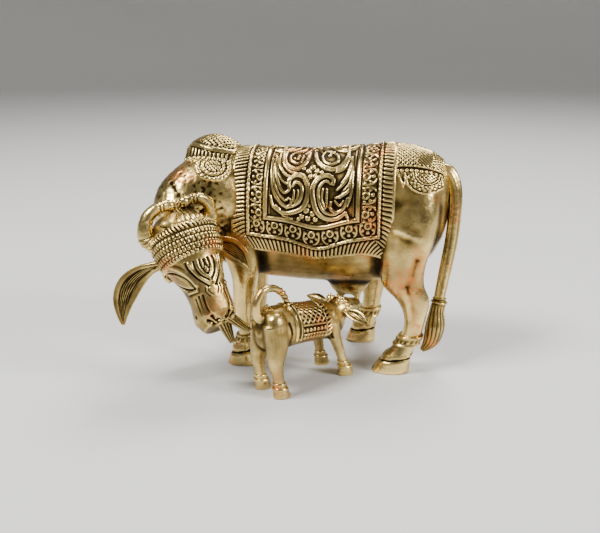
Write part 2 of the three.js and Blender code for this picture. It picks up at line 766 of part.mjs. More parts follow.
const cowBrass = new THREE.MeshStandardMaterial({ color: 0xa98a45, roughness: 0.32, metalness: 1 });
const calfBrass = new THREE.MeshStandardMaterial({ color: 0xbf9a4e, roughness: 0.3, metalness: 1 });

const group = new THREE.Group();
group.add(meshOf(cowCasting(), 'cow', cowBrass), meshOf(calfCasting(), 'calf', calfBrass));
group.position.set(-figureMiddle[0], -figureMiddle[1], 0);

export default group;
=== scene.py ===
"""Small brass figure of a cow licking her calf: cast bodies, chased saddlecloth, trappings and studio stage."""
import math

import bmesh
import bpy
import numpy as np
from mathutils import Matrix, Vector, noise
from mathutils.bvhtree import BVHTree


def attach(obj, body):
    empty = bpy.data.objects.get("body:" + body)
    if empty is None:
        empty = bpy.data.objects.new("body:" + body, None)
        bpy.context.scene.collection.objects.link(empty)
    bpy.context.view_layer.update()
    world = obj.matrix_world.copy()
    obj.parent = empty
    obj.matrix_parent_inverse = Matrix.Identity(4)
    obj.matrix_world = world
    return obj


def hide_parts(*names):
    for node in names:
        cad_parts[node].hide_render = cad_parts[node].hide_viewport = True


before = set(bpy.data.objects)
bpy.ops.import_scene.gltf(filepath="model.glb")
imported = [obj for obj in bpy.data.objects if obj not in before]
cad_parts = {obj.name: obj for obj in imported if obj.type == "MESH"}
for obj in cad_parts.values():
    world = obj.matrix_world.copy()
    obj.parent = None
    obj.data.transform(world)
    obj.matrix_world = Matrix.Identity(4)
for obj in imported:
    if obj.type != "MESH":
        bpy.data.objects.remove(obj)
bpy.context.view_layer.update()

bl_info = {
    "name": "Cow and calf figure",
    "version": (1, 0, 0),
    "blender": (4, 5, 0),
    "location": "View3D > Sidebar > Figure",
    "description": "Builds a cast brass cow that licks her calf",
    "category": "Object",
}

# Millimetres in the cow's own frame: X from head to tail, Y away from the viewer, Z up, hooves on Z = 0
MM = 0.001
FIGURE_MIDDLE = np.array([-3.86, -11.26, 0.0])

# Camera of the photograph in the cow's own frame
EYE = np.array([28.24, -229.71, 98.0])
LOOK = np.array([-0.1331, 0.9470, -0.2924])
FOCAL_PIXELS = 800.0
IMAGE_SIZE = (600, 533)
SENSOR = 36.0

# Trunk from chest to rump: place along X, height of the back, height of the underside, half width
TRUNK = np.array([
    (-31, 55.5, 41, 5), (-28, 59.5, 33.5, 9.8), (-23, 62.2, 27.6, 12.4), (-15, 62.5, 25, 13.6),
    (-5, 62.2, 24.2, 14.2), (5, 62.5, 23.9, 14.4), (14, 63.3, 24.1, 14.2), (22, 64.3, 25.2, 13.6),
    (28, 64.2, 27.5, 12.8), (33.5, 62.7, 31, 11), (37.3, 60, 36.5, 7.6), (39.2, 56.3, 43, 3.6)], float)
TRUNK_POWER = 2.25

# Legs: height, front and back edge along X, distance of the leg's middle from the cow's middle plane, half width
NEAR_HIND = [
    (53, 19, 36.6, 6, 6), (46, 18, 36.6, 8, 6.4), (39, 19, 35.5, 9.3, 5.8), (32, 20.5, 33.4, 10.4, 4.8),
    (26.5, 21, 33.2, 11, 4), (22, 25.5, 34.9, 11.3, 3.4), (17.5, 27.6, 34.2, 11.5, 2.8),
    (13, 27.7, 33.4, 11.5, 2.5), (9.4, 26, 32.2, 11.5, 2.6), (6.4, 23.6, 30.8, 11.5, 3.2),
    (4.3, 21.4, 30.2, 11.5, 3.7), (0, 18.6, 30, 11.5, 4.1)]
FAR_HIND = [
    (53, 19, 36.6, 6, 6), (46, 17, 36.2, 8, 6.4), (39, 14.5, 34, 9.3, 5.8), (32, 11.5, 29.4, 10.4, 4.8),
    (26.5, 10.8, 24.8, 11, 4), (22, 12.8, 22.6, 11.3, 3.4), (17.5, 14.3, 21.1, 11.5, 2.8),
    (13, 14.5, 20.3, 11.5, 2.5), (9.4, 13.3, 19.4, 11.5, 2.6), (6.4, 12, 18.9, 11.5, 3.2),
    (4.3, 10.9, 18.8, 11.5, 3.6), (0, 9.2, 18.8, 11.5, 4)]
FRONT_LEG = [
    (45, -27, -12, 7.5, 5), (37, -26.5, -12.8, 9, 5), (27.3, -22.8, -14.8, 10.8, 4),
    (19.5, -22.2, -16, 11.6, 3.1), (12.5, -20.6, -16.4, 11.8, 2.4), (9, -20.9, -16.8, 11.8, 2.4),
    (6.4, -22.1, -17, 11.8, 2.9), (4.3, -23, -16.4, 11.8, 3.4), (0, -24.3, -15.4, 11.8, 4)]
LEG_POWER = 2.3
HOOF_TOP = 4.3
# Anklets: low and high edge, how proud they stand, number of studs. The rings over the hooves are plain
HIND_ANKLET = (8.5, 11.5, 0.5, 16)
FRONT_ANKLET = (7.2, 9.5, 0.45, 14)
HOOF_RING = (5.3, 5.9, 0.2)

# Rounded limbs: x, y, z, half width, half depth
HUMP = [(-20.5, 0, 56, 5, 4.6), (-24, -0.4, 56.2, 7.8, 8.7), (-28.5, -0.8, 56, 8.6, 10.3),
        (-32.5, -1.6, 55.4, 7.8, 9.4), (-35.6, -2.6, 54.4, 4.8, 6)]
NECK = [(-18, 0, 47.5, 11.6, 13.6), (-24, -1.4, 48, 12.2, 13.8), (-28.5, -4.4, 48.8, 12, 13.2),
        (-32.5, -7.8, 48.4, 10.6, 12.2), (-35.4, -11.6, 47.4, 8.8, 10), (-36.6, -15, 45.6, 7.2, 7.8),
        (-36, -18, 43.4, 5.6, 6)]
DEWLAP = [(-24, -1, 31.6, 3.4, 4), (-28.5, -4, 33.4, 2.6, 4.6), (-32.5, -8.5, 35.6, 2.2, 4.4),
          (-34.8, -13, 38, 1.8, 3.4), (-34.8, -16.5, 40, 1.2, 2)]
TAIL = [(35.5, 0, 57.6, 2.6, 2.4), (38.8, -0.8, 57, 2.2, 2.1), (40.7, -1.8, 53, 1.9, 1.9),
        (41, -2.8, 47, 1.85, 1.85), (40.4, -3.8, 38, 1.8, 1.8), (39, -5, 29, 1.7, 1.7),
        (37.6, -6.6, 20.4, 1.5, 1.5)]
TUFT = [(37.8, -6.4, 21.6, 1.5, 1.4), (37.7, -6.6, 20, 2.1, 2), (37.2, -7, 17.2, 2, 2),
        (36.9, -7.8, 13, 2.9, 2.7), (35.8, -8.2, 8.6, 2.4, 2.1), (33.4, -8.4, 5.4, 0.5, 0.5)]
UDDER = [(11, 0, 27.5, 5.6, 6.8), (11, 0, 24.5, 5.6, 6.6), (11.1, 0, 22, 5.1, 5.8), (11.2, 0, 20.3, 3.8, 4.2),
         (11.2, 0, 19.6, 1.8, 2)]
TEATS = [(8.6, -2.6), (8.6, 2.6), (13.6, -2.4), (13.6, 2.4)]
TEAT_ROWS = [(21, 1.2), (18.6, 1), (16.6, 0.6)]

# Head frame and the rows of the face: along the face, to the left, out of the forehead, higher, half sizes.
# The horns have one radius, and an ear has its share of the length, share of the width and half thickness
POLL = np.array([-34.3, -22.5, 42.4])
MUZZLE = np.array([-21.9, -33.2, 21.2])
HEAD_SIDE = np.array([0.763, 0.626, 0.16])
FACE = [
    (-0.18, 0, -2, 0, 3.5, 3), (-0.12, 0, -1.2, 0, 7, 5.6), (0.02, 0, -0.6, 0, 8.8, 7.6),
    (0.2, 0, -0.6, 0, 9, 8.2), (0.38, 0, -1.2, 0, 7.9, 7.8), (0.58, 0, -1.6, 0, 6, 6.6),
    (0.78, 0, -1.2, 0, 5.4, 5.9), (0.95, 0, -0.4, 0, 5.8, 5.6), (1.07, 0, -0.6, 0, 4.4, 4.4)]
FACE_POWER = 2.2
HORN = [(0.04, 7, 1, 0, 2.9), (0, 9.2, 1, 1, 2.7), (-0.02, 9.8, 0.6, 3.2, 2.1), (-0.04, 8.8, 0.2, 5.6, 1.8),
        (-0.04, 6.2, 0.2, 7.4, 1.6), (-0.04, 3.2, 0.8, 7.8, 1.5), (-0.04, 2.2, 1, 7.6, 0.9)]
EAR_SHARES = [(0, 0.42, 1.5), (0.14, 0.5, 1.3), (0.32, 0.85, 0.8), (0.52, 1, 0.7), (0.72, 0.86, 0.6),
              (0.9, 0.45, 0.5), (1, 0.12, 0.3)]

# Rounds of filling where the forms of a casting join
BODY_FILL = 44
HEAD_FILL = 18
CALF_FILL = 45

# Saddlecloth: x at its front and rear edge, hem and frame lines as the way down from the spine
CLOTH_FRONT = -22.2
CLOTH_REAR = 24.2
CLOTH_MIDDLE = 1.0
HEM_DROP = 35.6
OUTER_FRAME = dict(front=-17.0, rear=19.9, drop=30.6, sag=2.6)
INNER_FRAME = dict(front=-12.0, rear=14.0, drop=25.2, sag=2.0)
ROSETTE_PITCH = 5.0
FRINGE_PITCH = 1.2
CLOTH_GRID = (216, 372)
CLOTH_UNDER = -0.8

# Trapping on the rump: x of its front edge, length, and the way down to each side
RUMP_FRONT = 24.05
RUMP_LENGTH = 14.4
RUMP_DROP = 23
RUMP_GRID = (84, 240)
# Trapping on the hump: x of both edges, axis it is laid round, turn to each side, way down where it fades
HUMP_FRONT = -38.5
HUMP_REAR = -22.0
HUMP_AXIS = (-1.0, 45.0)
HUMP_TURN = 1.35
HUMP_FADE = 17.5
HUMP_GRID = (76, 240)
TRAPPING_LIFT = 0.1
TRAPPING_UNDER = -0.9
# Relief lower than this is outside a trapping's pattern
PATTERN_FLOOR = -0.35

# Calf's blanket: where it starts, length, turn to each side and way down for each radian
BLANKET_REAR = 4.5
BLANKET_LENGTH = 13
BLANKET_TURN = 2.05
BLANKET_GIRTH = 5.55
BLANKET_GRID = (96, 172)

# Headband: place along the face and half sizes. Tongue and lower lip: root in the head, tip and half sizes
HEADBAND = [(0.01, 8.6, 7.6), (0.05, 9.2, 8.1), (0.1, 9.4, 8.4), (0.17, 9.4, 8.6), (0.25, 9.2, 8.6),
            (0.32, 8.8, 8.4), (0.37, 8.2, 8.0)]
MOUTH = [((0.86, 0, -2.4), (-12.9, -33.2, 18.6), (1.8, 1.5, 1.2, 0.7), (1, 0.8, 0.6, 0.4)),
         ((0.7, 0, -4.2), (-17.6, -34.0, 15.4), (3.4, 2.6, 1.6, 0.7), (1.4, 1, 0.7, 0.4))]
MOUTH_SHARES = (0, 0.4, 0.75, 1)
# Tufts of hair between the horns: pixels of their middle line, half width and thickness, depth of the hair lines
TUFTS = [([(177, 202), (183, 210), (189, 217), (194, 223)], 3.3, 1.0, 0.1),
         ([(176, 211), (172, 217), (168, 224), (166, 228)], 2.1, 1.3, 0.0)]
TUFT_SHARES = (0.35, 0.8, 1.0, 0.9)
# Ears: root, middle and tip, half width, way that the hollow faces
EARS = [((-37.6, -28, 35), (-50.6, -30.5, 31.8), (-48.2, -33.5, 18.6), 3.3, (0.75, 0.2, -0.6)),
        ((-27.4, -17.5, 38), (-19.5, -19, 39.5), (-15.6, -20, 32), 3, (0.5, 0.2, 0.8))]

# Lines of the face and the body, drawn on the photograph: width, height, taper, pixels
FACE_LINES = [
    (0.7, 0.4, 0.3, [(157, 266), (166, 267), (176, 270), (187, 276), (196, 285)]),
    (0.28, -0.42, 0.0, [(165, 274), (172, 274), (181, 277), (189, 282), (195, 289)]),
    (0.28, -0.38, 0.0, [(165, 275), (170, 283), (179, 288), (188, 290), (195, 289)]),
    (0.4, 0.3, 0.0, [(163, 279), (170, 287), (179, 292), (189, 294), (197, 291)]),
    (0.3, -0.36, 0.0, [(185, 264), (188, 270), (196, 278), (209, 286)]),
    (0.35, 0.35, 0.0, [(188, 264), (192, 270), (199, 277), (209, 283)]),
    (0.3, -0.36, 0.0, [(193, 262), (195, 268), (201, 275), (209, 279)]),
    (0.28, -0.32, 0.0, [(199, 260), (201, 266), (205, 271), (209, 273)]),
    (0.25, -0.3, 0.0, [(204, 259), (206, 264), (209, 267)]),
    (0.25, -0.22, 0.6, [(205, 288), (206, 292), (210, 296)]),
    (0.25, -0.2, 0.6, [(208, 287), (209, 291), (213, 294)]),
    (0.45, -0.26, 0.2, [(203, 296), (206, 306), (212, 315), (219, 319)]),
    (0.35, -0.16, 0.7, [(199, 297), (202, 306), (208, 318)]),
    (0.35, -0.14, 0.7, [(196, 300), (199, 308), (205, 319)]),
    (0.45, -0.9, 0.2, [(232, 318), (226, 322), (217, 323), (208, 321)]),
    (0.5, -0.8, 0.3, [(212, 317), (215, 320), (219, 320)]),
    (0.7, -0.25, 0.5, [(178, 296), (188, 306), (196, 318)]),
]
# Lines of the calf: width, height, places ahead, to the right and up
CALF_LINES = [
    (0.3, -0.5, [(33.6, 0.8, 17.7), (32.6, 2.4, 17.7), (31.2, 2.9, 17.6)]),
    (0.35, -0.5, [(33.3, 1.6, 19.2), (32.9, 2.1, 19.0)]),
    (0.3, -0.35, [(26.2, 3.9, 20.1), (27.2, 3.8, 20.3), (28.3, 3.3, 20.0)]),
    (0.6, -0.3, [(2.6, 5.2, 21), (3.2, 5.6, 17), (2.2, 5.2, 13)]),
    (0.6, -0.25, [(17.4, 5.2, 18), (17.6, 5.4, 15), (18.6, 5.0, 12.4)]),
    (0.5, -0.25, [(0.4, 5.4, 10.5), (0.6, 5.2, 8), (0.2, 5.3, 6)]),
]
BODY_LINES = [
    (1.2, 0.35, 0.5, [(398, 230), (408, 235), (420, 240)]),
    (1.0, 0.35, 0.3, [(403, 292), (407, 304), (408, 318)]),
    (1.6, -0.3, 0.4, [(418, 262), (412, 278), (406, 292)]),
    (0.7, -0.3, 0.4, [(171, 182), (177, 192), (184, 202), (186, 212)]),
]

# Calf frame: middle between the hind hooves and middle between the front hooves. Rows of the calf: ahead,
# to the right and up in that frame, then the half sizes across and the other way, or one radius
CALF_BACK = np.array([-7.6, -31.0, 0.0])
CALF_FRONT = np.array([7.4, -13.0, 0.0])
CALF_TRUNK = [(-4.2, 0, 19.6, 1.5, 2), (-2.8, 0, 19.4, 4.2, 5), (1, 0, 18.7, 5.2, 6.3), (6.5, 0, 18, 5.2, 5.8),
              (12.5, 0, 17.2, 5.2, 5.4), (19, 0, 16.4, 5.2, 5.5), (23.6, 0, 16, 4.4, 5), (26.4, 0, 16, 2, 2.4)]
CALF_NECK = [(19, 0, 16.4, 4.2, 4.4), (22, 0, 17.2, 3.7, 3.9), (24.4, 0.2, 18.2, 3.1, 3.3),
             (26, 0.4, 18.6, 2.5, 2.7)]
CALF_HEAD = [(21.6, 0.4, 18.2, 2.4, 2), (23.2, 0.4, 18.8, 3.6, 3.1), (26, 0.4, 18.8, 3.6, 3.2),
             (29.4, 0.5, 18.4, 2.6, 2.5), (32.2, 0.6, 18.4, 2.1, 1.9), (33.4, 0.6, 18.4, 1, 1)]
CALF_TAIL = [(-3, 0, 22, 1.5), (-4.8, 0, 23.6, 1.3), (-5, 0, 27, 1.15), (-2.6, 0, 30, 1.1), (1, 0, 30, 1),
             (4.2, 0, 27.8, 0.9), (6, 0, 24.4, 0.7)]
CALF_HIND = [(-0.5, 2.6, 21, 2.6, 4), (-0.5, 3.2, 15, 2.5, 3.6), (-1.4, 3.7, 10, 1.9, 2.4),
             (-1, 4, 6, 1.6, 1.6), (-0.6, 4, 3.8, 1.6, 1.6), (-0.2, 4, 2.4, 2, 2.1), (0.3, 4, 0, 2.2, 2.7)]
CALF_FORE = [(19.4, 3.2, 17, 2.2, 2.6), (20.6, 3.8, 12, 1.9, 2), (22, 4.4, 7.4, 1.5, 1.5),
             (23, 4.8, 4, 1.4, 1.4), (23.6, 5, 2.4, 1.9, 2), (24, 5, 0, 2.1, 2.6)]
# The calf's head is turned a little: its middle plane lies this far to the right
CALF_FACE = 0.4

# Scroll strands of the cloth's panel, drawn on the photograph: half width in millimetres, then pixels
STRANDS = [
    (0.75, [(310, 152), (308, 160), (302, 166), (295, 169), (288, 166), (285, 160), (287, 153), (291, 149)]),
    (0.5, [(304, 156), (301, 162), (296, 163), (291, 160), (291, 156), (296, 153)]),
    (0.4, [(300, 156), (297, 159), (294, 158)]),
    (0.75, [(316, 153), (317, 160), (322, 166), (331, 169), (340, 167), (346, 161), (349, 153), (348, 148)]),
    (0.5, [(326, 152), (323, 157), (325, 162), (332, 164), (338, 161), (338, 156), (333, 153), (329, 156)]),
    (0.6, [(273, 159), (272, 175), (273, 190), (279, 201), (286, 207), (291, 204), (290, 199)]),
    (0.45, [(275, 163), (274, 178), (277, 191), (284, 200), (289, 198)]),
    (0.6, [(277, 156), (276, 172), (279, 185), (284, 192), (289, 190)]),
    (0.45, [(279, 157), (278, 170), (282, 180), (288, 184)]),
    (0.55, [(281, 154), (280, 165), (285, 174), (292, 177)]),
    (0.5, [(284, 152), (284, 163), (290, 171), (297, 173)]),
    (0.45, [(271, 196), (273, 206), (279, 212)]),
    (0.8, [(289, 189), (289, 180), (296, 175), (304, 177), (308, 186), (307, 198), (302, 208), (291, 213),
           (281, 212), (276, 206)]),
    (0.55, [(292, 186), (296, 182), (300, 184), (302, 190), (300, 200), (294, 206), (286, 208)]),
    (0.4, [(298, 190), (297, 199), (294, 203)]),
    (0.35, [(294, 190), (293, 199), (290, 203)]),
    (0.8, [(333, 184), (333, 178), (326, 175), (317, 179), (312, 189), (313, 201), (317, 212), (325, 219),
           (337, 219), (345, 213)]),
    (0.55, [(331, 184), (326, 181), (321, 185), (318, 192), (319, 203), (324, 212), (333, 215), (341, 211)]),
    (0.4, [(323, 188), (322, 199), (325, 209)]),
    (0.4, [(327, 189), (326, 199), (327, 207)]),
    (0.55, [(331, 202), (330, 208), (335, 213), (342, 210), (346, 203), (347, 198)]),
    (0.4, [(335, 201), (339, 206), (343, 201)]),
    (0.6, [(352, 157), (351, 170), (345, 182), (337, 190)]),
    (0.45, [(351, 163), (348, 174), (341, 184)]),
    (0.6, [(353, 167), (352, 179), (349, 189), (343, 195), (336, 198)]),
    (0.45, [(352, 175), (349, 185), (343, 191)]),
    (0.6, [(350, 158), (344, 168), (336, 172)]),
    (0.45, [(353, 183), (351, 195), (347, 206)]),
    (0.45, [(279, 208), (284, 216), (292, 219)]),
    (0.45, [(345, 213), (348, 220), (353, 222)]),
]
# Small rounded buds between the strands: pixels and radius in millimetres
BUDS = [(309, 171, 0.8), (313, 167, 0.9), (317, 171, 0.8), (311, 176, 0.75), (315, 176, 0.75), (304, 168, 0.6),
        (322, 172, 0.6), (301, 217, 0.8), (306, 211, 0.9), (312, 214, 0.8), (307, 219, 0.8), (298, 220, 0.6),
        (315, 220, 0.7), (296, 181, 0.45), (340, 197, 0.6), (343, 193, 0.5), (309, 206, 0.5)]
# The same along the spine, as places on the cloth towards the head; the other half is their mirror image
SPINE_STRANDS = [
    (0.65, [(-11.2, 1.0), (-9.2, 2.7), (-6.8, 2.5), (-5.4, 0.9), (-6.2, -0.6)]),
    (0.45, [(-10.6, 3.6), (-8.0, 4.2), (-5.4, 3.2), (-3.8, 1.2)]),
    (0.65, [(-4.6, 4.6), (-2.4, 3.2), (-1.6, 1.2), (-2.6, -0.4)]),
    (0.4, [(-1.4, 4.8), (-0.4, 3.0), (-0.2, 1.0)]),
]
SPINE_BUDS = [(-0.0, 0.0, 0.9), (-8.2, 0.6, 0.7), (-3.9, 0.2, 0.6), (1.0, 2.4, 0.6), (-3.4, 6.0, 0.6)]

# Finish: height in millimetres that counts as fully raised, against the near and against the wide surroundings
RELIEF_SCALES = {
    "cow_body": (0.08, 0.6), "cow_head": (0.06, 0.5), "cow_cloth": (0.12, 0.3), "rump_trapping": (0.07, 0.3),
    "shoulder_trapping": (0.07, 0.3), "calf_body": (0.05, 0.5)}
COMMON_SCALES = (0.12, 0.5)
# Seed of the patches in the finish, and how much more copper shows
FINISHES = {"cow": (1.0, 0.0), "calf": (4.0, -0.04)}

# Studio: name, place, size and power of each light, in metres and watts
LIGHTS = [("key", (-0.3, -0.2, 0.55), 0.2, 6.0), ("side", (0.5, -0.15, 0.35), 0.16, 3.2),
          ("top", (0.1, 0.35, 0.6), 0.3, 4.5)]
LIT_PLACE = Vector((0, 0, 0.03))
WORLD_GREY = 0.80
WORLD_STRENGTH = 0.36
# The floor's flat disc takes this share of its radius, and the rest bends upwards
FLAT_SHARE = 0.72
BEND_STEPS = 8
WALL_STEPS = 4
WALL_STEP = 0.2


def unit(vectors):
    return vectors / np.maximum(np.linalg.norm(vectors, axis=-1, keepdims=True), 1e-9)


# Frames of the head, of the calf and of the camera
HEAD_AXIS = unit(MUZZLE - POLL)
HEAD_LENGTH = float(np.linalg.norm(MUZZLE - POLL))
HEAD_LEFT = unit(HEAD_SIDE - HEAD_AXIS * float(HEAD_SIDE @ HEAD_AXIS))
HEAD_OUT = np.cross(HEAD_LEFT, HEAD_AXIS)
UPWARDS = np.array([0.0, 0.0, 1.0])
CALF_AHEAD = unit(CALF_FRONT - CALF_BACK)
CALF_RIGHT = np.array([CALF_AHEAD[1], -CALF_AHEAD[0], 0.0])
VIEW_AHEAD = unit(LOOK)
VIEW_RIGHT = unit(np.cross(LOOK, UPWARDS))
VIEW_UP = np.cross(VIEW_RIGHT, VIEW_AHEAD)

# Cast bodies in the cow's own frame, for the pieces that are laid on them
CAST = {}


def rows_at(rows, t):
    """Smooth curve through rows of numbers, t from 0 to 1."""
    rows = np.asarray(rows, float)
    place = np.clip(t, 0, 1) * (len(rows) - 1)
    i = np.minimum(np.asarray(place).astype(int), len(rows) - 2)
    f = (place - i)[..., None]
    a, b, c, d = (rows[np.clip(i + k, 0, len(rows) - 1)] for k in (-1, 0, 1, 2))
    return b + 0.5 * f * (c - a + f * (2 * a - 5 * b + 4 * c - d + f * (3 * (b - c) + d - a)))


def squared(value, power):
    """Cosine or sine that makes a rounded square out of a circle."""
    return np.sign(value) * np.abs(value) ** (2 / power)


def cut(distance, width):
    """Soft rounded profile, 1 on a line and fading on both sides of it."""
    return np.exp(-((distance / width) ** 2))


def in_head(along, left, out, rise=0.0):
    """Point at a share of the face's length, and millimetres to the left, out of the forehead and up."""
    return POLL + HEAD_AXIS * along * HEAD_LENGTH + HEAD_LEFT * left + HEAD_OUT * out + UPWARDS * rise


def in_calf(ahead, right, height):
    return CALF_BACK + CALF_AHEAD * ahead + CALF_RIGHT * right + UPWARDS * height


def calf_rows(rows):
    return [(*in_calf(*row[:3]), *row[3:]) for row in rows]


def to_pixels(points):
    """Pixel of each point in the photograph's frame."""
    away = points - EYE
    depth = away @ VIEW_AHEAD
    u = IMAGE_SIZE[0] / 2 + FOCAL_PIXELS * (away @ VIEW_RIGHT) / depth
    return np.stack([u, IMAGE_SIZE[1] / 2 - FOCAL_PIXELS * (away @ VIEW_UP) / depth], -1)


def pixel_ray(u, v):
    """Direction from the eye through a pixel of the photograph."""
    return unit(VIEW_AHEAD + VIEW_RIGHT * (u - IMAGE_SIZE[0] / 2) / FOCAL_PIXELS
                - VIEW_UP * (v - IMAGE_SIZE[1] / 2) / FOCAL_PIXELS)


def face_outwards(bm, faces):
    """Turns the faces of one closed form outwards."""
    bmesh.ops.recalc_face_normals(bm, faces=faces)
    volume = sum(face.calc_center_median().dot(face.normal) * face.calc_area() for face in faces)
    if volume < 0:
        bmesh.ops.reverse_faces(bm, faces=faces)


def skin(bm, around, along, place):
    """Closed skin over sections: place(t, c, s) gives their points at share t, cosine c and sine s."""
    made = bmesh.ops.create_uvsphere(bm, u_segments=around, v_segments=along, radius=1)["verts"]
    ball = np.array([v.co for v in made])
    ring = np.round(np.arccos(np.clip(ball[:, 2], -1, 1)) / math.pi * along)
    flat = np.hypot(ball[:, 0], ball[:, 1])
    pole = (ring < 0.5) | (ring > along - 0.5)
    c = np.where(pole, 0, ball[:, 0] / np.maximum(flat, 1e-6))
    s = np.where(pole, 0, ball[:, 1] / np.maximum(flat, 1e-6))
    points = place(np.clip((ring - 1) / (along - 2), 0, 1), c, s)
    for vertex, point in zip(made, points):
        vertex.co = point
    face_outwards(bm, list({face for vertex in made for face in vertex.link_faces}))


def limb(bm, rows, side, around=24, along=40, power=2.0, cup=0.0, relief=None):
    """Limb along a curved line. Cup lifts its edges, relief(t, angle) raises its surface."""
    side = np.array(side, float)

    def place(t, c, s):
        row = rows_at(rows, t)
        tangent = unit(rows_at(rows, t + 0.02)[:, :3] - rows_at(rows, t - 0.02)[:, :3])
        across = unit(side - tangent * (tangent @ side)[:, None])
        up = np.cross(tangent, across)
        reach = row[:, 3:4] * squared(c, power)[:, None]
        lift = row[:, 4:5] * squared(s, power)[:, None] + cup * row[:, 3:4] * (c * c)[:, None]
        points = row[:, :3] + across * reach + up * lift
        if relief is not None:
            raised = np.where(np.hypot(c, s) > 0.5, relief(t, np.arctan2(s, c)), 0)
            points += unit(across * c[:, None] + up * s[:, None]) * raised[:, None]
        return points
    skin(bm, around, along, place)


def leg(bm, rows, side, around=28, along=56):
    """Leg with level sections, side -1 towards the viewer and 1 away."""
    def place(t, c, s):
        z, front, back, away, half = rows_at(rows, t).T
        x = (front + back) / 2 + (back - front) / 2 * squared(c, LEG_POWER)
        return np.stack([x, side * away - half * squared(s, LEG_POWER), z], -1)
    skin(bm, around, along, place)


def leg_at(rows, z):
    """Rows of a leg at given heights."""
    heights = np.array([row[0] for row in rows], float)
    return rows_at(rows, np.interp(-z, -heights, np.arange(len(rows))) / (len(rows) - 1))


def trunk_at(x):
    """Rows of the trunk at given places along X."""
    t = np.interp(x, TRUNK[:, 0], np.arange(len(TRUNK))) / (len(TRUNK) - 1)
    return rows_at(TRUNK, t)


def on_trunk(x, angle, lift=0.0):
    """Point of the trunk's skin: angle 0 on the spine, positive on the viewer's side."""
    row = trunk_at(x)
    top, bottom, half = row[..., 1], row[..., 2], row[..., 3]
    depth = (top - bottom) / 2
    y, z = squared(np.sin(angle), TRUNK_POWER), squared(np.cos(angle), TRUNK_POWER)
    ny = np.sign(y) * np.abs(y) ** (TRUNK_POWER - 1) / half
    nz = np.sign(z) * np.abs(z) ** (TRUNK_POWER - 1) / depth
    size = np.hypot(ny, nz)
    return np.stack([x, -(half * y + lift * ny / size), (top + bottom) / 2 + depth * z + lift * nz / size], -1)


# Way down from the spine to each angle of the trunk, measured round one section of the barrel
ANGLES = np.linspace(0, 2.6, 1200)
GIRTH_POINTS = on_trunk(np.full(len(ANGLES), 5.0), ANGLES)
GIRTH = np.concatenate([[0], np.cumsum(np.linalg.norm(np.diff(GIRTH_POINTS, axis=0), axis=1))])


def on_cloth(x, drop, lift=0.0):
    """Point on the saddlecloth: drop is the way down from the spine, negative on the far side."""
    return on_trunk(x, np.sign(drop) * np.interp(np.abs(drop), GIRTH, ANGLES), lift)


def hem_at(x):
    """Way down to the hem, which hangs lower in the middle and at its corners."""
    rear_corner = 4.2 * (np.maximum(x - 14, 0) / 10) ** 2
    front_corner = 1.2 * (np.maximum(-14 - x, 0) / 8) ** 2
    return HEM_DROP + 1.2 * cut(x - 2, 7) + rear_corner + front_corner


def frame_drop(line, x):
    """Way down to the lower side of a frame line, which sags in the middle."""
    return line["drop"] + line["sag"] * cut(x - CLOTH_MIDDLE - 2, 6.5)


def mesh_arrays(mesh):
    """Points, normals and edges of a mesh."""
    points = np.zeros(len(mesh.vertices) * 3)
    mesh.vertices.foreach_get("co", points)
    normals = np.zeros(len(mesh.vertices) * 3)
    mesh.vertex_normals.foreach_get("vector", normals)
    edges = np.zeros(len(mesh.edges) * 2, int)
    mesh.edges.foreach_get("vertices", edges)
    return points.reshape(-1, 3), normals.reshape(-1, 3), edges.reshape(-1, 2)


def relaxed(points, edges, rounds, factor=0.5):
    """Points moved towards the mean of their neighbours, a number of rounds."""
    count = np.bincount(edges.ravel(), minlength=len(points)).astype(float)[:, None]
    points = points.copy()
    for _ in range(rounds):
        total = np.zeros_like(points)
        for k in range(points.shape[1]):
            total[:, k] = (np.bincount(edges[:, 0], points[edges[:, 1], k], len(points))
                           + np.bincount(edges[:, 1], points[edges[:, 0], k], len(points)))
        points += factor * (total / np.maximum(count, 1) - points)
    return points


def set_points(mesh, points):
    mesh.vertices.foreach_set("co", np.asarray(points, float).ravel())
    mesh.update()


def mesh_of(bm, name):
    mesh = bpy.data.meshes.new(name)
    bm.to_mesh(mesh)
    bm.free()
    return mesh


def fused(bm, name, voxel, rounds):
    """One cast skin over overlapping closed forms, with its joins smoothed."""
    rough = mesh_of(bm, name + "_rough")
    carrier = bpy.data.objects.new(name + "_carrier", rough)
    bpy.context.scene.collection.objects.link(carrier)
    remesh = carrier.modifiers.new("fuse", "REMESH")
    remesh.mode = "VOXEL"
    remesh.voxel_size = voxel
    graph = bpy.context.evaluated_depsgraph_get()
    mesh = bpy.data.meshes.new_from_object(carrier.evaluated_get(graph))
    bpy.data.objects.remove(carrier)
    bpy.data.meshes.remove(rough)
    mesh.name = name
    points, _, edges = mesh_arrays(mesh)
    set_points(mesh, relaxed(points, edges, 4))
    fill_creases(mesh, rounds)
    points, _, edges = mesh_arrays(mesh)
    set_points(mesh, relaxed(points, edges, 2))
    return mesh


def fill_creases(mesh, rounds):
    """Fills the creases between joined forms and leaves their rounded sides."""
    for _ in range(rounds // 5):
        points, normals, edges = mesh_arrays(mesh)
        for _ in range(5):
            step = relaxed(points, edges, 1, 1.0) - points
            points = points + 0.6 * normals * np.clip(np.sum(step * normals, 1), 0, None)[:, None]
        set_points(mesh, points)


def ball(bm, centre, radii, axes=None, segments=16):
    """Rounded boss with its own three half sizes."""
    made = bmesh.ops.create_uvsphere(bm, u_segments=segments, v_segments=segments * 3 // 4, radius=1)["verts"]
    axes = np.eye(3) if axes is None else np.array(axes, float)
    for vertex in made:
        vertex.co = np.array(centre) + (np.array(vertex.co) * radii) @ axes
    face_outwards(bm, list({face for vertex in made for face in vertex.link_faces}))


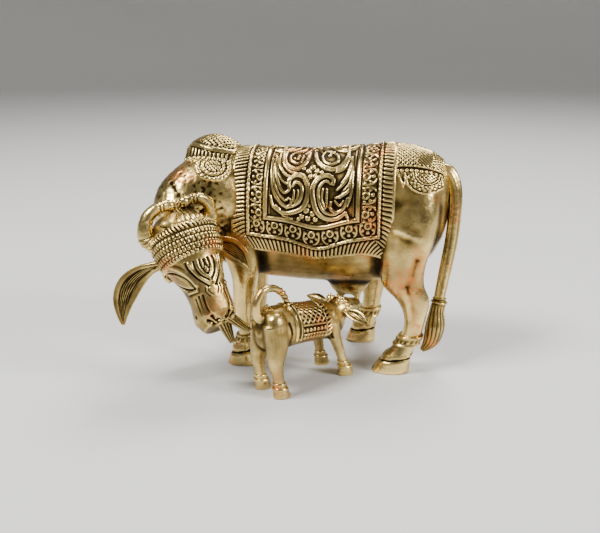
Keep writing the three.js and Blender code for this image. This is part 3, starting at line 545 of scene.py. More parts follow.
def along_line(points, line):
    """Distance of each point to a line through 2D or 3D places, and how far along it the nearest place is."""
    best = np.full(len(points), 1e9)
    share = np.zeros(len(points))
    count = len(line) - 1
    for k in range(count):
        a, step = line[k], line[k + 1] - line[k]
        t = np.clip(((points - a) @ step) / max(float(step @ step), 1e-9), 0, 1)
        gap = np.linalg.norm(points - a - t[:, None] * step, axis=1)
        near = gap < best
        best = np.where(near, gap, best)
        share = np.where(near, (k + t) / count, share)
    return best, share


def curve(line, count=24):
    """Evenly spaced places on a smooth curve through a line's places."""
    return rows_at(line, np.linspace(0, 1, count))


def stroke(points, line, width, depth, taper=0.0):
    """Height of a soft groove (depth below 0) or ridge along a line of places."""
    smooth = curve(np.asarray(line, float))
    reach = np.all((points > smooth.min(0) - 3 * width) & (points < smooth.max(0) + 3 * width), axis=1)
    height = np.zeros(len(points))
    gap, share = along_line(points[reach], smooth)
    height[reach] = depth * (1 - taper * share) * cut(gap, width)
    return height


def surface_tree(*meshes):
    """Search tree of the faces of one or more meshes."""
    bm = bmesh.new()
    for mesh in meshes:
        bm.from_mesh(mesh)
    tree = BVHTree.FromBMesh(bm)
    bm.free()
    return tree


def touches(tree, pixels):
    """Points of a surface that are seen at pixels of the photograph."""
    hits = [tree.ray_cast(Vector(EYE), Vector(pixel_ray(u, v)))[0] for u, v in pixels]
    met = [np.array(hit) for hit in hits if hit is not None]
    if not met:
        raise RuntimeError("A drawn line misses the surface that it belongs on")
    return np.array(met)


def carve(points, tree, lines, mirrored=None):
    """Height of grooves and ridges whose pixels lie on the surface: width, depth, taper, pixels."""
    height = np.zeros(len(points))
    for width, depth, taper, pixels in lines:
        line = touches(tree, pixels)
        height += stroke(points, line, width, depth, taper)
        if mirrored is not None:
            height += stroke(points, mirrored(line), width, depth, taper)
    return height


def set_relief(mesh, fine, broad):
    """Stores how far each point stands above or below its surroundings, for the antique finish."""
    points, normals, edges = mesh_arrays(mesh)
    near = relaxed(points, edges, 6)
    wide = relaxed(near, edges, 30)
    height = np.sum((points - near) * normals, 1) / fine + np.sum((near - wide) * normals, 1) / broad
    layer = mesh.attributes.new("relief", "FLOAT", "POINT")
    layer.data.foreach_set("value", np.clip(0.5 + 0.5 * height, 0, 1))


def place_piece(name, mesh, node):
    """Moves a finished mesh into the row's frame, gives it its finish and hangs it on the model's frame."""
    mesh.name = name
    set_relief(mesh, *RELIEF_SCALES.get(name, COMMON_SCALES))
    points = mesh_arrays(mesh)[0]
    points[:, 2] = np.maximum(points[:, 2], 0)
    set_points(mesh, (points - FIGURE_MIDDLE) * MM)
    mesh.polygons.foreach_set("use_smooth", np.ones(len(mesh.polygons), bool))
    mesh.materials.append(antique_brass(node + "_brass_finish", *FINISHES[node]))
    piece = bpy.data.objects.new(name, mesh)
    bpy.context.scene.collection.objects.link(piece)
    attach(piece, "root")
    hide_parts(node)


class FigureSizes(bpy.types.PropertyGroup):
    """Sizes that a maker would change, in millimetres but for the floor."""
    body_grain: bpy.props.FloatProperty(
        name="Body mesh", description="Size of the facets on the cow's body", default=0.48, min=0.25)
    head_grain: bpy.props.FloatProperty(
        name="Head mesh", description="Size of the facets on the cow's head", default=0.2, min=0.12)
    calf_grain: bpy.props.FloatProperty(
        name="Calf mesh", description="Size of the facets on the calf", default=0.23, min=0.12)
    cloth_thickness: bpy.props.FloatProperty(
        name="Cloth thickness", description="How proud the saddlecloth lies on the body", default=0.75, min=0.2)
    chasing: bpy.props.FloatProperty(
        name="Chasing", description="Height of the scrollwork above its ground", default=0.55, min=0.1)
    floor_size: bpy.props.FloatProperty(
        name="Floor", description="Width of the studio floor", default=3.0, min=1.0, unit="LENGTH")


class FigureColours(bpy.types.PropertyGroup):
    """Colours of the antiqued brass and the studio."""
    polished: bpy.props.FloatVectorProperty(
        name="Polished brass", description="Rubbed high places", default=(0.78, 0.585, 0.22), subtype="COLOR")
    plain: bpy.props.FloatVectorProperty(
        name="Plain brass", description="Open surfaces", default=(0.36, 0.24, 0.07), subtype="COLOR")
    patina: bpy.props.FloatVectorProperty(
        name="Patina", description="Dark tone in the recesses", default=(0.025, 0.016, 0.007), subtype="COLOR")
    copper: bpy.props.FloatVectorProperty(
        name="Copper bloom", description="Reddish patches", default=(0.68, 0.24, 0.06), subtype="COLOR")
    floor: bpy.props.FloatVectorProperty(
        name="Floor", description="Pale studio floor", default=(0.62, 0.61, 0.59), subtype="COLOR")


def sizes():
    return bpy.context.scene.figure_sizes


def colours():
    return bpy.context.scene.figure_colours


def antique_brass(name, seed, warmth):
    """Brass with dark patina in its recesses, rubbed high places, copper bloom and a faint cast grain."""
    finish = bpy.data.materials.get(name)
    if finish is not None:
        return finish
    finish = bpy.data.materials.new(name)
    finish.use_nodes = True
    nodes, links = finish.node_tree.nodes, finish.node_tree.links
    shader = nodes["Principled BSDF"]
    shader.inputs["Metallic"].default_value = 1.0

    def feed(socket, value):
        if isinstance(value, bpy.types.NodeSocket):
            links.new(value, socket)
        else:
            socket.default_value = (*value, 1.0) if np.ndim(value) else value

    def clouds(scale, detail, shift):
        move = nodes.new("ShaderNodeMapping")
        move.inputs["Location"].default_value = (seed + shift, seed, shift)
        links.new(place.outputs["Object"], move.inputs["Vector"])
        pattern = nodes.new("ShaderNodeTexNoise")
        pattern.inputs["Scale"].default_value = scale
        pattern.inputs["Detail"].default_value = detail
        links.new(move.outputs["Vector"], pattern.inputs["Vector"])
        return pattern.outputs["Fac"]

    def ramp(source, *stops):
        bands = nodes.new("ShaderNodeValToRGB")
        marks = bands.color_ramp.elements
        while len(marks) < len(stops):
            marks.new(0.5)
        for mark, (at, colour) in zip(marks, stops):
            mark.position = at
            mark.color = (*colour, 1.0) if np.ndim(colour) else (colour, colour, colour, 1.0)
        links.new(source, bands.inputs["Fac"])
        return bands.outputs["Color"]

    def mix(blend, factor, first, second):
        blender = nodes.new("ShaderNodeMix")
        blender.data_type = "RGBA"
        blender.blend_type = blend
        for number, value in ((0, factor), (6, first), (7, second)):
            feed(blender.inputs[number], value)
        return blender.outputs[2]

    def sums(kind, first, second):
        reckoner = nodes.new("ShaderNodeMath")
        reckoner.operation = kind
        feed(reckoner.inputs[0], first)
        feed(reckoner.inputs[1], second)
        return reckoner.outputs[0]

    place = nodes.new("ShaderNodeTexCoord")
    relief = nodes.new("ShaderNodeAttribute")
    relief.attribute_name = "relief"
    tone = colours()
    darker = [0.3 * c for c in tone.plain]
    between = [0.5 * (a + b) for a, b in zip(tone.plain, tone.polished)]
    bright = [min(1, 1.15 * c) for c in tone.polished]

    # From the dark recesses to the rubbed high places, with uneven wear
    uneven = sums("MULTIPLY", sums("SUBTRACT", clouds(260, 4, 0.1), 0.5), 0.22)
    wear = sums("ADD", relief.outputs["Fac"], uneven)
    metal = ramp(wear, (0.28, tone.patina), (0.43, darker), (0.52, tone.plain), (0.64, between),
                 (0.8, tone.polished), (1.0, bright))
    metal = mix("MULTIPLY", 1.0, metal, ramp(clouds(110, 3, 0.4), (0.36, 0.5), (0.64, 1.15)))

    # Reddish bloom in patches and flecks, kept out of the recesses
    bloom = ramp(clouds(95, 3, 0.7), (0.54 - warmth, 0.0), (0.66 - warmth, 0.85))
    bloom = mix("MULTIPLY", 1.0, bloom, ramp(clouds(700, 2, 0.9), (0.4, 0.3), (0.65, 1.0)))
    bloom = mix("MULTIPLY", 1.0, bloom, ramp(wear, (0.36, 0.0), (0.5, 1.0)))
    links.new(mix("MIX", bloom, metal, tone.copper), shader.inputs["Base Color"])

    # Matt recesses, glossy high places and smears over both
    rough = ramp(wear, (0.3, 0.65), (0.5, 0.4), (0.75, 0.24))
    smear = ramp(clouds(420, 4, 1.3), (0.3, 0.75), (0.7, 1.25))
    links.new(mix("MULTIPLY", 1.0, rough, smear), shader.inputs["Roughness"])

    # Skin of the casting
    bump = nodes.new("ShaderNodeBump")
    bump.inputs["Strength"].default_value = 0.35
    bump.inputs["Distance"].default_value = 0.0003
    pores = sums("ADD", clouds(900, 5, 1.7), sums("MULTIPLY", clouds(260, 3, 2.1), 0.8))
    links.new(pores, bump.inputs["Height"])
    links.new(bump.outputs["Normal"], shader.inputs["Normal"])
    return finish


def hind_leg(side):
    return NEAR_HIND if side < 0 else FAR_HIND


def cow_forms(bm):
    """Closed forms of the cow's body, which overlap where they join."""
    def trunk(t, c, s):
        x, top, bottom, half = rows_at(TRUNK, t).T
        rise = (top - bottom) / 2 * squared(s, TRUNK_POWER)
        return np.stack([x, half * squared(c, TRUNK_POWER), (top + bottom) / 2 + rise], -1)
    skin(bm, 48, 60, trunk)
    for rows, along in ((HUMP, 24), (NECK, 36), (UDDER, 20)):
        limb(bm, rows, (0, 1, 0), 32, along)
    limb(bm, DEWLAP, (0.6, -0.8, 0), 24, 24)
    for x, y in TEATS:
        limb(bm, [(x, y, z, radius, radius) for z, radius in TEAT_ROWS], (0, 1, 0), 12, 12)
    for side in (-1, 1):
        leg(bm, hind_leg(side), side)
        leg(bm, FRONT_LEG, side)


def hoof_marks(points):
    """Coronet groove round each hoof and the cleft at its front."""
    height = np.zeros(len(points))
    level = points[:, 2]
    for side in (-1, 1):
        for rows in (hind_leg(side), FRONT_LEG):
            _, front, back, away, half = leg_at(rows, np.clip(level, 0, rows[0][0])).T
            x = (points[:, 0] - (front + back) / 2) / (back - front) * 2
            y = (points[:, 1] - side * away) / half
            near = (np.hypot(x, y) < 1.5) & (level < HIND_ANKLET[1])
            groove = -0.42 * cut(level - HOOF_TOP - 0.5 * x, 0.4)
            low = np.clip((HOOF_TOP + 0.6 - level) / 1.2, 0, 1)
            cleft = -0.9 * cut(y, 0.12) * (x < -0.1) * low
            height += near * (groove + cleft)
    return height


def cast_grain(points):
    """Uneven hand-finished surface: gentle all over, rough and pitted on the neck."""
    neck = np.clip((-21 - points[:, 0]) / 4, 0, 1) * np.clip((points[:, 2] - 36) / 6, 0, 1)
    neck = neck * np.clip((4 - points[:, 1]) / 5, 0, 1)
    soft = np.array([noise.noise(Vector(p) * 0.22) for p in points])
    rough = np.array([noise.noise(Vector(p) * 0.85) if share > 0 else 0.0 for p, share in zip(points, neck)])
    return 0.12 * soft + neck * (0.16 * rough - 0.2 * np.clip(np.abs(rough) - 0.4, 0, 1))


def build_cow_body():
    bm = bmesh.new()
    cow_forms(bm)
    mesh = fused(bm, "cow_body", sizes().body_grain, BODY_FILL)
    points, normals, _ = mesh_arrays(mesh)
    height = hoof_marks(points) + carve(points, surface_tree(mesh), BODY_LINES) + cast_grain(points)
    set_points(mesh, points + normals * height[:, None])
    return mesh


def across_face(points):
    """Places on the other side of the face."""
    return points - 2 * ((points - POLL) @ HEAD_LEFT)[:, None] * HEAD_LEFT


def build_cow_head():
    bm = bmesh.new()
    limb(bm, [(*in_head(*row[:4]), *row[4:]) for row in FACE], HEAD_LEFT, 48, 60, FACE_POWER)
    for left in (-1, 1):
        out = unit(HEAD_LEFT * left + 0.6 * HEAD_OUT)
        eye, nostril = in_head(0.36, left * 6.9, 3.7), in_head(0.93, left * 2.6, 4.0)
        ball(bm, eye, (1.2, 1.3, 2.4), (np.cross(out, HEAD_AXIS), out, HEAD_AXIS))
        ball(bm, nostril, (2.3, 1.9, 2.2), (HEAD_LEFT, HEAD_OUT, HEAD_AXIS))
    ball(bm, in_head(0.88, 0, 3.2), (3.6, 2.4, 3.4), (HEAD_LEFT, HEAD_OUT, HEAD_AXIS))
    mesh = fused(bm, "cow_head", sizes().head_grain, HEAD_FILL)
    points, normals, _ = mesh_arrays(mesh)
    height = carve(points, surface_tree(mesh), FACE_LINES, across_face)
    set_points(mesh, points + normals * height[:, None])
    return mesh


def build_mouth():
    """Tongue with its grooves and the lower lip under it."""
    def grooves(t, angle):
        return 0.12 * np.cos(2 * math.pi * 2.2 * np.cos(angle))
    bm = bmesh.new()
    for place, tip, wide, thick in MOUTH:
        root = in_head(*place)
        middle = root + (np.array(tip) - root) * np.array(MOUTH_SHARES)[:, None]
        limb(bm, np.column_stack([middle, wide, thick]), HEAD_LEFT, 48, 60, relief=grooves)
    return mesh_of(bm, "cow_mouth")


def band_relief(t, angle):
    """Rows of square beads across the forehead, hair above them and a plain edge below."""
    around = angle * 9.2
    rows = (t - 0.34) / 0.16
    row = np.clip(np.floor(rows), 0, 3)
    inside = (rows > 0) & (rows < 4)
    staggered = around / 1.25 + 0.5 * (row % 2)
    blocks = np.abs(np.sin(math.pi * (rows - row))) ** 0.5 * np.abs(np.sin(math.pi * staggered)) ** 0.5
    hair = 0.28 * np.cos(2 * math.pi * (around / 1.05 + 2.4 * t)) + 0.35
    hair = hair * np.clip((0.31 - t) / 0.05, 0, 1)
    return np.where(inside, 0.5 * blocks - 0.12, hair)


def build_headband():
    bm = bmesh.new()
    rows = [(*in_head(along, 0, -0.6), a, b) for along, a, b in HEADBAND]
    limb(bm, rows, HEAD_LEFT, 400, 78, FACE_POWER, relief=band_relief)
    return mesh_of(bm, "headband")


def build_horns():
    """Horns with rings at their roots and before the balls on their tips."""
    def rings(t, angle):
        height = 0.05 * np.cos(3 * angle + 14 * t)
        for place in (0.08, 0.13, 0.18, 0.23, 0.7, 0.75):
            height = height - 0.3 * cut(t - place, 0.011)
        return height
    bm = bmesh.new()
    for left in (-1, 1):
        rows = [(*in_head(along, left * away, out, rise), radius, radius)
                for along, away, out, rise, radius in HORN]
        limb(bm, rows, (0.2, 0.3, 1), 40, 160, relief=rings)
        ball(bm, rows[-1][:3], (1.7, 1.7, 1.7), segments=28)
    return mesh_of(bm, "cow_horns")


def ear_relief(t, angle):
    """Hair lines in the hollow of an ear inside its smooth rim."""
    across = np.cos(angle)
    wide = 0.62 * np.sin(math.pi * np.clip((t - 0.05) / 0.9, 0, 1)) ** 0.5
    hollow = (np.sin(angle) > 0) * np.clip((wide - np.abs(across)) / 0.08, 0, 1)
    lines = 0.12 * np.cos(2 * math.pi * (5.2 * across + 0.5 * np.sin(5 * t))) - 0.36
    outside = 0.05 * np.cos(2 * math.pi * 4 * across) * (np.sin(angle) < 0)
    return hollow * lines + outside


def build_ears(ears, around=72, along=120):
    """Pair of curved leaf-shaped ears, each with its hollow on one side."""
    bm = bmesh.new()
    for root, middle, tip, width, side in ears:
        root, middle, tip = np.array(root), np.array(middle), np.array(tip)
        rows = [(*(root * (1 - t) ** 2 + middle * 2 * t * (1 - t) + tip * t * t), width * wide, thick)
                for t, wide, thick in EAR_SHARES]
        limb(bm, rows, side, around, along, 2, 0.35, ear_relief)
    return mesh_of(bm, "ears")


def build_poll_tufts(tree):
    """Fan of hair and a smooth swelling on the neck between the horns."""
    bm = bmesh.new()
    for pixels, wide, thick, lines in TUFTS:
        def hair(t, angle, lines=lines):
            return lines * np.cos(14 * angle) * np.clip(6 * t, 0, 1)
        half_sizes = np.array(TUFT_SHARES)[:, None] * (wide, thick)
        limb(bm, np.column_stack([touches(tree, pixels), half_sizes]), VIEW_RIGHT, 90, 60, relief=hair)
    return mesh_of(bm, "poll_tufts")


def ring_on_leg(bm, rows, side, low, high, proud, studs=0):
    """Band round a leg between two heights, plain or with raised rims and a row of studs."""
    def place(t, c, s):
        z = high + (low - high) * t
        _, front, back, away, half = leg_at(rows, z).T
        swell = proud + np.zeros(len(t))
        if studs:
            row = 0.3 * np.clip(np.cos(studs * np.arctan2(s, c)), 0, 1) ** 2 * cut(t - 0.5, 0.17)
            swell = swell + (0.28 * (cut(t - 0.1, 0.1) + cut(t - 0.9, 0.1)) + row)
        swell = np.where(np.hypot(c, s) < 0.5, 0, swell)
        reach, width = (back - front) / 2 + swell, half + swell
        return np.stack([(front + back) / 2 + reach * squared(c, LEG_POWER),
                         side * away - width * squared(s, LEG_POWER), z], -1)
    skin(bm, 96, 18, place)


def build_anklets():
    bm = bmesh.new()
    for side in (-1, 1):
        for rows, anklet in ((hind_leg(side), HIND_ANKLET), (FRONT_LEG, FRONT_ANKLET)):
            ring_on_leg(bm, rows, side, *anklet)
            ring_on_leg(bm, rows, side, *HOOF_RING)
    return mesh_of(bm, "cow_anklets")


def build_tail():
    """Faceted tail, the ring that ties it and the strands of its tuft."""
    def facets(t, angle):
        return 0.1 * np.cos(6 * angle + 3 * t)

    def strands(t, angle):
        tie = 0.5 * cut(t - 0.06, 0.035) + 0.5 * cut(t - 0.19, 0.035)
        hair = 0.2 * np.abs(np.cos(7 * angle + 4 * t)) * np.clip((t - 0.25) / 0.08, 0, 1)
        return tie + hair
    bm = bmesh.new()
    limb(bm, TAIL, (0, 1, 0), 48, 160, relief=facets)
    limb(bm, TUFT, (0, 1, 0), 110, 140, relief=strands)
    return mesh_of(bm, "cow_tail")


def rosette_centres():
    """Places of the rosettes between the frame lines, with the way towards the panel's middle."""
    front = (OUTER_FRAME["front"] + INNER_FRAME["front"]) / 2
    rear = (OUTER_FRAME["rear"] + INNER_FRAME["rear"]) / 2
    places = []
    for k in range(1, round(INNER_FRAME["drop"] / ROSETTE_PITCH) + 1):
        places += [(front, (k - 0.2) * ROSETTE_PITCH, (1, 0)), (rear, (k - 0.2) * ROSETTE_PITCH, (-1, 0))]
    count = round((rear - front) / ROSETTE_PITCH)
    for k in range(count + 1):
        x = front + (rear - front) * k / count
        places.append((x, (frame_drop(OUTER_FRAME, x) + frame_drop(INNER_FRAME, x)) / 2, (0, -1)))
    return places


def bar(distance, width, height):
    """Raised bar with a dark groove cut along each side."""
    edge = np.abs(distance)
    top = height * np.clip(1 - (edge / (width / 2)) ** 4, 0, 1)
    return top - 0.3 * cut(edge - width / 2 - 0.28, 0.24)


def fringe_height(x, drop, to_edge, to_hem):
    """Fine ridges square to the cloth's edges, fanning out at the corners."""
    corner = np.clip((drop - 24) / 10, 0, 1)
    ahead = np.where(x < CLOTH_MIDDLE, 1.0, -1.0)
    side = (drop + (0.25 + 0.75 * corner) * (to_edge - 4)) / FRINGE_PITCH
    lean = np.clip(np.abs(x - CLOTH_MIDDLE) / 20, 0, 1) ** 2
    low = (x + ahead * lean * (to_hem - 4)) / FRINGE_PITCH
    phase = np.where(to_hem < to_edge, low, side)
    inner = np.minimum(to_edge, to_hem)
    ridges = 0.17 * np.cos(2 * math.pi * phase) * np.clip((inner - 0.7) / 0.4, 0, 1)
    mitre = -0.25 * cut(to_hem - to_edge, 0.3) * (inner < 4.6)
    return ridges + mitre - 0.05


def rosette_height(x, drop, centre, inward):
    """Ring boss with petals that fan away from the panel, inside a scalloped rim."""
    across = (x - centre[0]) * inward[0] + (drop - centre[1]) * inward[1]
    along = (x - centre[0]) * -inward[1] + (drop - centre[1]) * inward[0]
    near = np.hypot(across - 0.75, along)
    angle = np.arctan2(along, -(across - 0.75))
    ring = 0.42 * cut(near - 0.78, 0.3) + 0.25 * cut(near, 0.28)
    between = np.clip((near - 1.2) / 0.3, 0, 1) * np.clip((2.5 - near) / 0.4, 0, 1)
    petals = 0.3 * np.clip(0.3 + np.cos(7 * angle), 0, 1) * between * (np.abs(angle) < 2.1)
    rim = 0.32 * cut(np.hypot(across * 0.92, along) - 2.15, 0.24) * (across < 0.9)
    return np.maximum(np.maximum(ring, petals), rim)


def past_frame(line, x, drop):
    """How far a place lies outside a frame line, negative inside it."""
    return np.maximum.reduce([line["front"] - x, x - line["rear"], drop - frame_drop(line, x)])


def cloth_height(x, drop, lines, buds):
    """Relief of one side of the cloth above its plain face. Drop is counted down from the spine."""
    hem = hem_at(x)
    to_edge = np.minimum(x - CLOTH_FRONT, CLOTH_REAR - x)
    to_hem = (hem - drop) * 0.98
    outer, inner = past_frame(OUTER_FRAME, x, drop), past_frame(INNER_FRAME, x, drop)
    height = np.where(outer > 0, fringe_height(x, drop, to_edge, to_hem), -0.18)
    band = (outer <= 0) & (inner > 0)
    cells = np.zeros(len(x))
    for cx, cd, inward in rosette_centres():
        close = band & (np.abs(x - cx) < 3) & (np.abs(drop - cd) < 3)
        cells[close] = np.maximum(cells[close], rosette_height(x[close], drop[close], (cx, cd), inward))
    height = np.where(band, height + cells, height)
    panel = inner <= 0
    places = np.stack([x, drop], -1)
    raised = np.zeros(len(x))
    for half, line in lines:
        box = panel & np.all((places > line.min(0) - 1.2) & (places < line.max(0) + 1.2), axis=1)
        gap, share = along_line(places[box], line)
        width = half * (0.55 + 0.45 * np.sin(math.pi * np.clip(share * 0.9 + 0.08, 0, 1)))
        ridge = np.sqrt(np.clip(1 - (gap / width) ** 2, 0, 1))
        vein = 0.35 * cut(gap, 0.16) * (half > 0.7)
        raised[box] = np.maximum(raised[box], ridge * (1 - vein) * (0.75 + 0.5 * half))
    for place, radius in buds:
        gap = np.linalg.norm(places - place, axis=1)
        bud = np.sqrt(np.clip(1 - (gap / radius) ** 2, 0, 1)) - 0.5 * cut(gap, 0.22)
        raised = np.where(panel, np.maximum(raised, bud), raised)
    height = np.where(panel, -0.28 + sizes().chasing * raised, height)
    height = height + np.where(np.abs(outer) < 1.0, bar(outer, 0.95, 0.42) + 0.1, 0)
    height = height + np.where(np.abs(inner) < 1.2, bar(inner, 1.25, 0.42) + 0.2, 0)
    rim = np.clip(np.minimum(to_edge, np.maximum(to_hem, 0)) / 0.35, 0, 1)
    return height - 0.35 * (1 - np.sqrt(rim))


def build_cloth():
    bm = bmesh.new()
    share = grid_of(bm, *CLOTH_GRID)
    x = CLOTH_FRONT + share[:, 0] * (CLOTH_REAR - CLOTH_FRONT)
    drop = 2 * (share[:, 1] - 0.5) * hem_at(x)
    thickness = sizes().cloth_thickness
    drawing = Drawing(on_cloth(x, drop, thickness), np.stack([x, drop], -1), drop > 0)
    lines = [(half, curve(np.array([drawing.at(u, v) for u, v in pixels]), 30)) for half, pixels in STRANDS]
    buds = [(drawing.at(u, v), radius) for u, v, radius in BUDS]
    for side in (-1, 1):
        middle, way = np.array([CLOTH_MIDDLE * (1 + side), 0]), np.array([-side, 1])
        lines += [(half, curve(middle + np.array(places) * way, 30)) for half, places in SPINE_STRANDS]
        buds += [(middle + np.array((ahead, down)) * way, radius) for ahead, down, radius in SPINE_BUDS]
    height = cloth_height(x, np.abs(drop), lines, buds)
    for vertex, point in zip(bm.verts, on_cloth(x, drop, thickness + height)):
        vertex.co = point
    close_sheet(bm, share, on_cloth(x, drop, CLOTH_UNDER))
    return mesh_of(bm, "cow_cloth")


def close_sheet(bm, share, under):
    """Turns the rim of a sheet down into the body and closes the underside."""
    corner = {vertex: k for k, vertex in enumerate(bm.verts)}
    border = [edge for edge in bm.edges if edge.is_boundary]
    made = bmesh.ops.extrude_edge_only(bm, edges=border)["geom"]
    wall = {}
    for vertex in (v for v in made if isinstance(v, bmesh.types.BMVert)):
        partner = next(e.other_vert(vertex) for e in vertex.link_edges if e.other_vert(vertex) in corner)
        wall[vertex] = corner[partner]
        vertex.co = under[corner[partner]]
    low = [e for e in made if isinstance(e, bmesh.types.BMEdge) and e.is_boundary]
    ends = [e for e in low if all(abs(share[wall[v], 0] - 0.5) > 0.4999 for v in e.verts)]
    bmesh.ops.bridge_loops(bm, edges=ends)
    bmesh.ops.holes_fill(bm, edges=[e for e in bm.edges if e.is_boundary], sides=0)
    face_outwards(bm, bm.faces[:])


def grid_of(bm, columns, rows):
    """Flat grid. Returns the two shares from 0 to 1 of each of its vertices."""
    bmesh.ops.create_grid(bm, x_segments=columns, y_segments=rows, size=0.5)
    bm.verts.ensure_lookup_table()
    return np.array([v.co[:2] for v in bm.verts]) + 0.5


def close_patch(bm, top, under, keep):
    """Lays a grid's top, drops the faces outside the pattern and closes the rest with an underside."""
    number = bm.verts.layers.int.new("number")
    for k, vertex in enumerate(bm.verts):
        vertex[number] = k
        vertex.co = top[k]
    outside = [f for f in bm.faces if not any(keep[v[number]] for v in f.verts)]
    bmesh.ops.delete(bm, geom=outside, context="FACES")
    made = bmesh.ops.extrude_face_region(bm, geom=bm.faces[:])["geom"]
    for vertex in (v for v in made if isinstance(v, bmesh.types.BMVert)):
        vertex.co = under[vertex[number]]
    bm.verts.layers.int.remove(number)
    face_outwards(bm, bm.faces[:])


class Drawing:
    """Finds the place on a patch that is seen at a pixel of the photograph."""

    def __init__(self, points, places, near):
        self.seen, self.places = to_pixels(points[near]), places[near]

    def at(self, u, v):
        return self.places[np.argmin((self.seen[:, 0] - u) ** 2 + (self.seen[:, 1] - v) ** 2)]


def lattice(a, b, pitch):
    """Crossed diagonal ridges."""
    first, second = np.cos(math.pi * (a + b) / pitch), np.cos(math.pi * (a - b) / pitch)
    return np.maximum(np.abs(first), np.abs(second)) ** 3


def bead(a, b, pitch, radius):
    """Row of round beads along a, centred on b = 0."""
    step = (a / pitch + 0.5) % 1 - 0.5
    return np.sqrt(np.clip(1 - (step * pitch / radius) ** 2 - (b / radius) ** 2, 0, 1))


def half_rosette(along, down, inner, outer):
    """Hanging half round: crosshatched disc, ring of beads and a plain rim. Returns its height and reach."""
    radius = np.hypot(along, down)
    turn = np.arctan2(along, down)
    disc = 0.1 + 0.38 * lattice(along, down, 1.1)
    middle = (inner + outer) / 2
    ring = 0.25 + 0.3 * bead(turn * middle, radius - middle, 1.25, (outer - inner) * 0.5)
    height = np.where(radius < inner, disc, ring)
    height = height - 0.35 * cut(radius - inner, 0.16) - 0.3 * cut(radius - outer, 0.16)
    return height, radius


def rump_height(x, drop, drawing):
    """Hatched field above a row of beads, with a round medal and a pointed strap hanging from it."""
    centre = drawing.at(428, 175)
    top = centre[1] - 0.6
    along, down = x - centre[0], drop - centre[1]
    radius = np.hypot(along, down)
    disc = 0.25 + 0.2 * lattice(along, down, 1.15) - 0.3 * cut(radius - 2.9, 0.16)
    band = 0.42 + 0.1 * np.cos(22 * np.arctan2(along, down)) * np.cos(2 * math.pi * radius / 1.2)
    medal = np.where(radius < 3.6, disc, band) - 0.35 * cut(radius - 3.7, 0.18)
    medal = medal + 0.25 * cut(radius - 6.3, 0.25) - 0.3 * cut(radius - 5.8, 0.16)
    medal = np.where(radius < 6.7, medal, -0.6)
    beads = 0.15 + 0.5 * bead(x, drop - top + 0.1, 1.35, 0.62)
    hatch = 0.05 + 0.38 * lattice(x, drop, 1.3)
    scale = 0.08 + 0.34 * np.abs(np.cos(math.pi * (x - 0.9 * drop) / 1.15)) ** 0.7
    hatch = np.where((x > centre[0] - 3) & (x < centre[0] + 1.5), scale, hatch)
    edge = top - 1.5
    ridge = 0.45 * cut(drop - edge, 0.3) - 0.25 * cut(drop - edge + 0.55, 0.2)
    upper = np.where(drop < edge, hatch, 0.1) + ridge
    height = np.where(drop < top + 0.6, np.maximum(upper, np.where(drop > edge + 0.4, beads, -1)), medal)
    tab_tip, tab_wide = drawing.at(408, 188), 2.6
    tab = (tab_tip[1] - drop) / (tab_tip[1] - top) * tab_wide
    off = np.abs(x - 26.2)
    strap = np.where((off < tab) & (drop > top), 0.25 + 0.25 * cut(off - tab + 0.35, 0.25), -0.6)
    height = np.where(drop > top + 0.6, np.maximum(height, strap), height)
    return height - 1.2 * np.clip((x - 37.6) / 0.6, 0, 1)


def build_rump_trapping():
    bm = bmesh.new()
    share = grid_of(bm, *RUMP_GRID)
    x = RUMP_FRONT + share[:, 0] * RUMP_LENGTH
    drop = (share[:, 1] * 2 - 1) * RUMP_DROP
    drawing = Drawing(on_cloth(x, drop, TRAPPING_LIFT), np.stack([x, drop], -1), drop > 0)
    height = rump_height(x, np.abs(drop), drawing)
    top, under = on_cloth(x, drop, TRAPPING_LIFT + height), on_cloth(x, drop, TRAPPING_UNDER)
    close_patch(bm, top, under, height > PATTERN_FLOOR)
    return mesh_of(bm, "rump_trapping")


def cast_round(tree, x, turn, middle):
    """Points and normals where rays from all round meet the body, at places along X and turns from the top."""
    way = np.stack([np.zeros_like(x), -np.sin(turn), np.cos(turn)], -1)
    points, normals = np.zeros((len(x), 3)), np.zeros((len(x), 3))
    for k in range(len(x)):
        centre = np.array([x[k], middle[0], middle[1]])
        place, normal = tree.ray_cast(Vector(centre + way[k] * 60), Vector(-way[k]))[:2]
        points[k], normals[k] = (centre, way[k]) if place is None else (place, normal)
    return points, normals


def shoulder_height(x, drop, drawing):
    """Hatched crown in a smooth crescent, hair lines, a row of beads and a hanging half rosette."""
    centre = drawing.at(213, 166)
    along, down = x - centre[0], drop - centre[1]
    medal, radius = half_rosette(along, down, 2.3, 3.6)
    turn = np.arctan2(along, down)
    scallop = 0.2 + 0.35 * bead(turn * 4.6, radius - 4.5, 1.3, 0.75)
    medal = np.where(radius > 3.6, scallop, medal) - 0.35 * cut(radius - 3.6, 0.16)
    medal = np.where(radius < 5.4, medal, -0.6)
    top = drawing.at(214, 160)[1]
    cap = drawing.at(215, 147)[1]
    crescent = cap + 1.0 - 0.07 * (x - drawing.at(217, 147)[0]) ** 2
    crown = 0.08 + 0.4 * lattice(x, drop, 1.5)
    smooth = 0.55 * np.sqrt(np.clip(1 - ((drop - crescent) / 0.85) ** 2, 0, 1))
    plain = 0.2 + 0.14 * np.cos(2 * math.pi * x / 1.15)
    height = np.where(drop < crescent, np.maximum(crown, smooth), np.maximum(plain, smooth))
    height = height - 0.3 * cut(drop - crescent - 1.0, 0.18) - 0.25 * cut(drop - crescent + 1.0, 0.18)
    row = top - 0.2 * np.maximum(centre[0] - x - 3, 0)
    beads = 0.2 + 0.55 * bead(x, drop - row, 1.45, 0.7)
    upper = np.where(drop < row - 0.7, height, beads)
    return np.where(drop < row + 0.7, upper, medal)


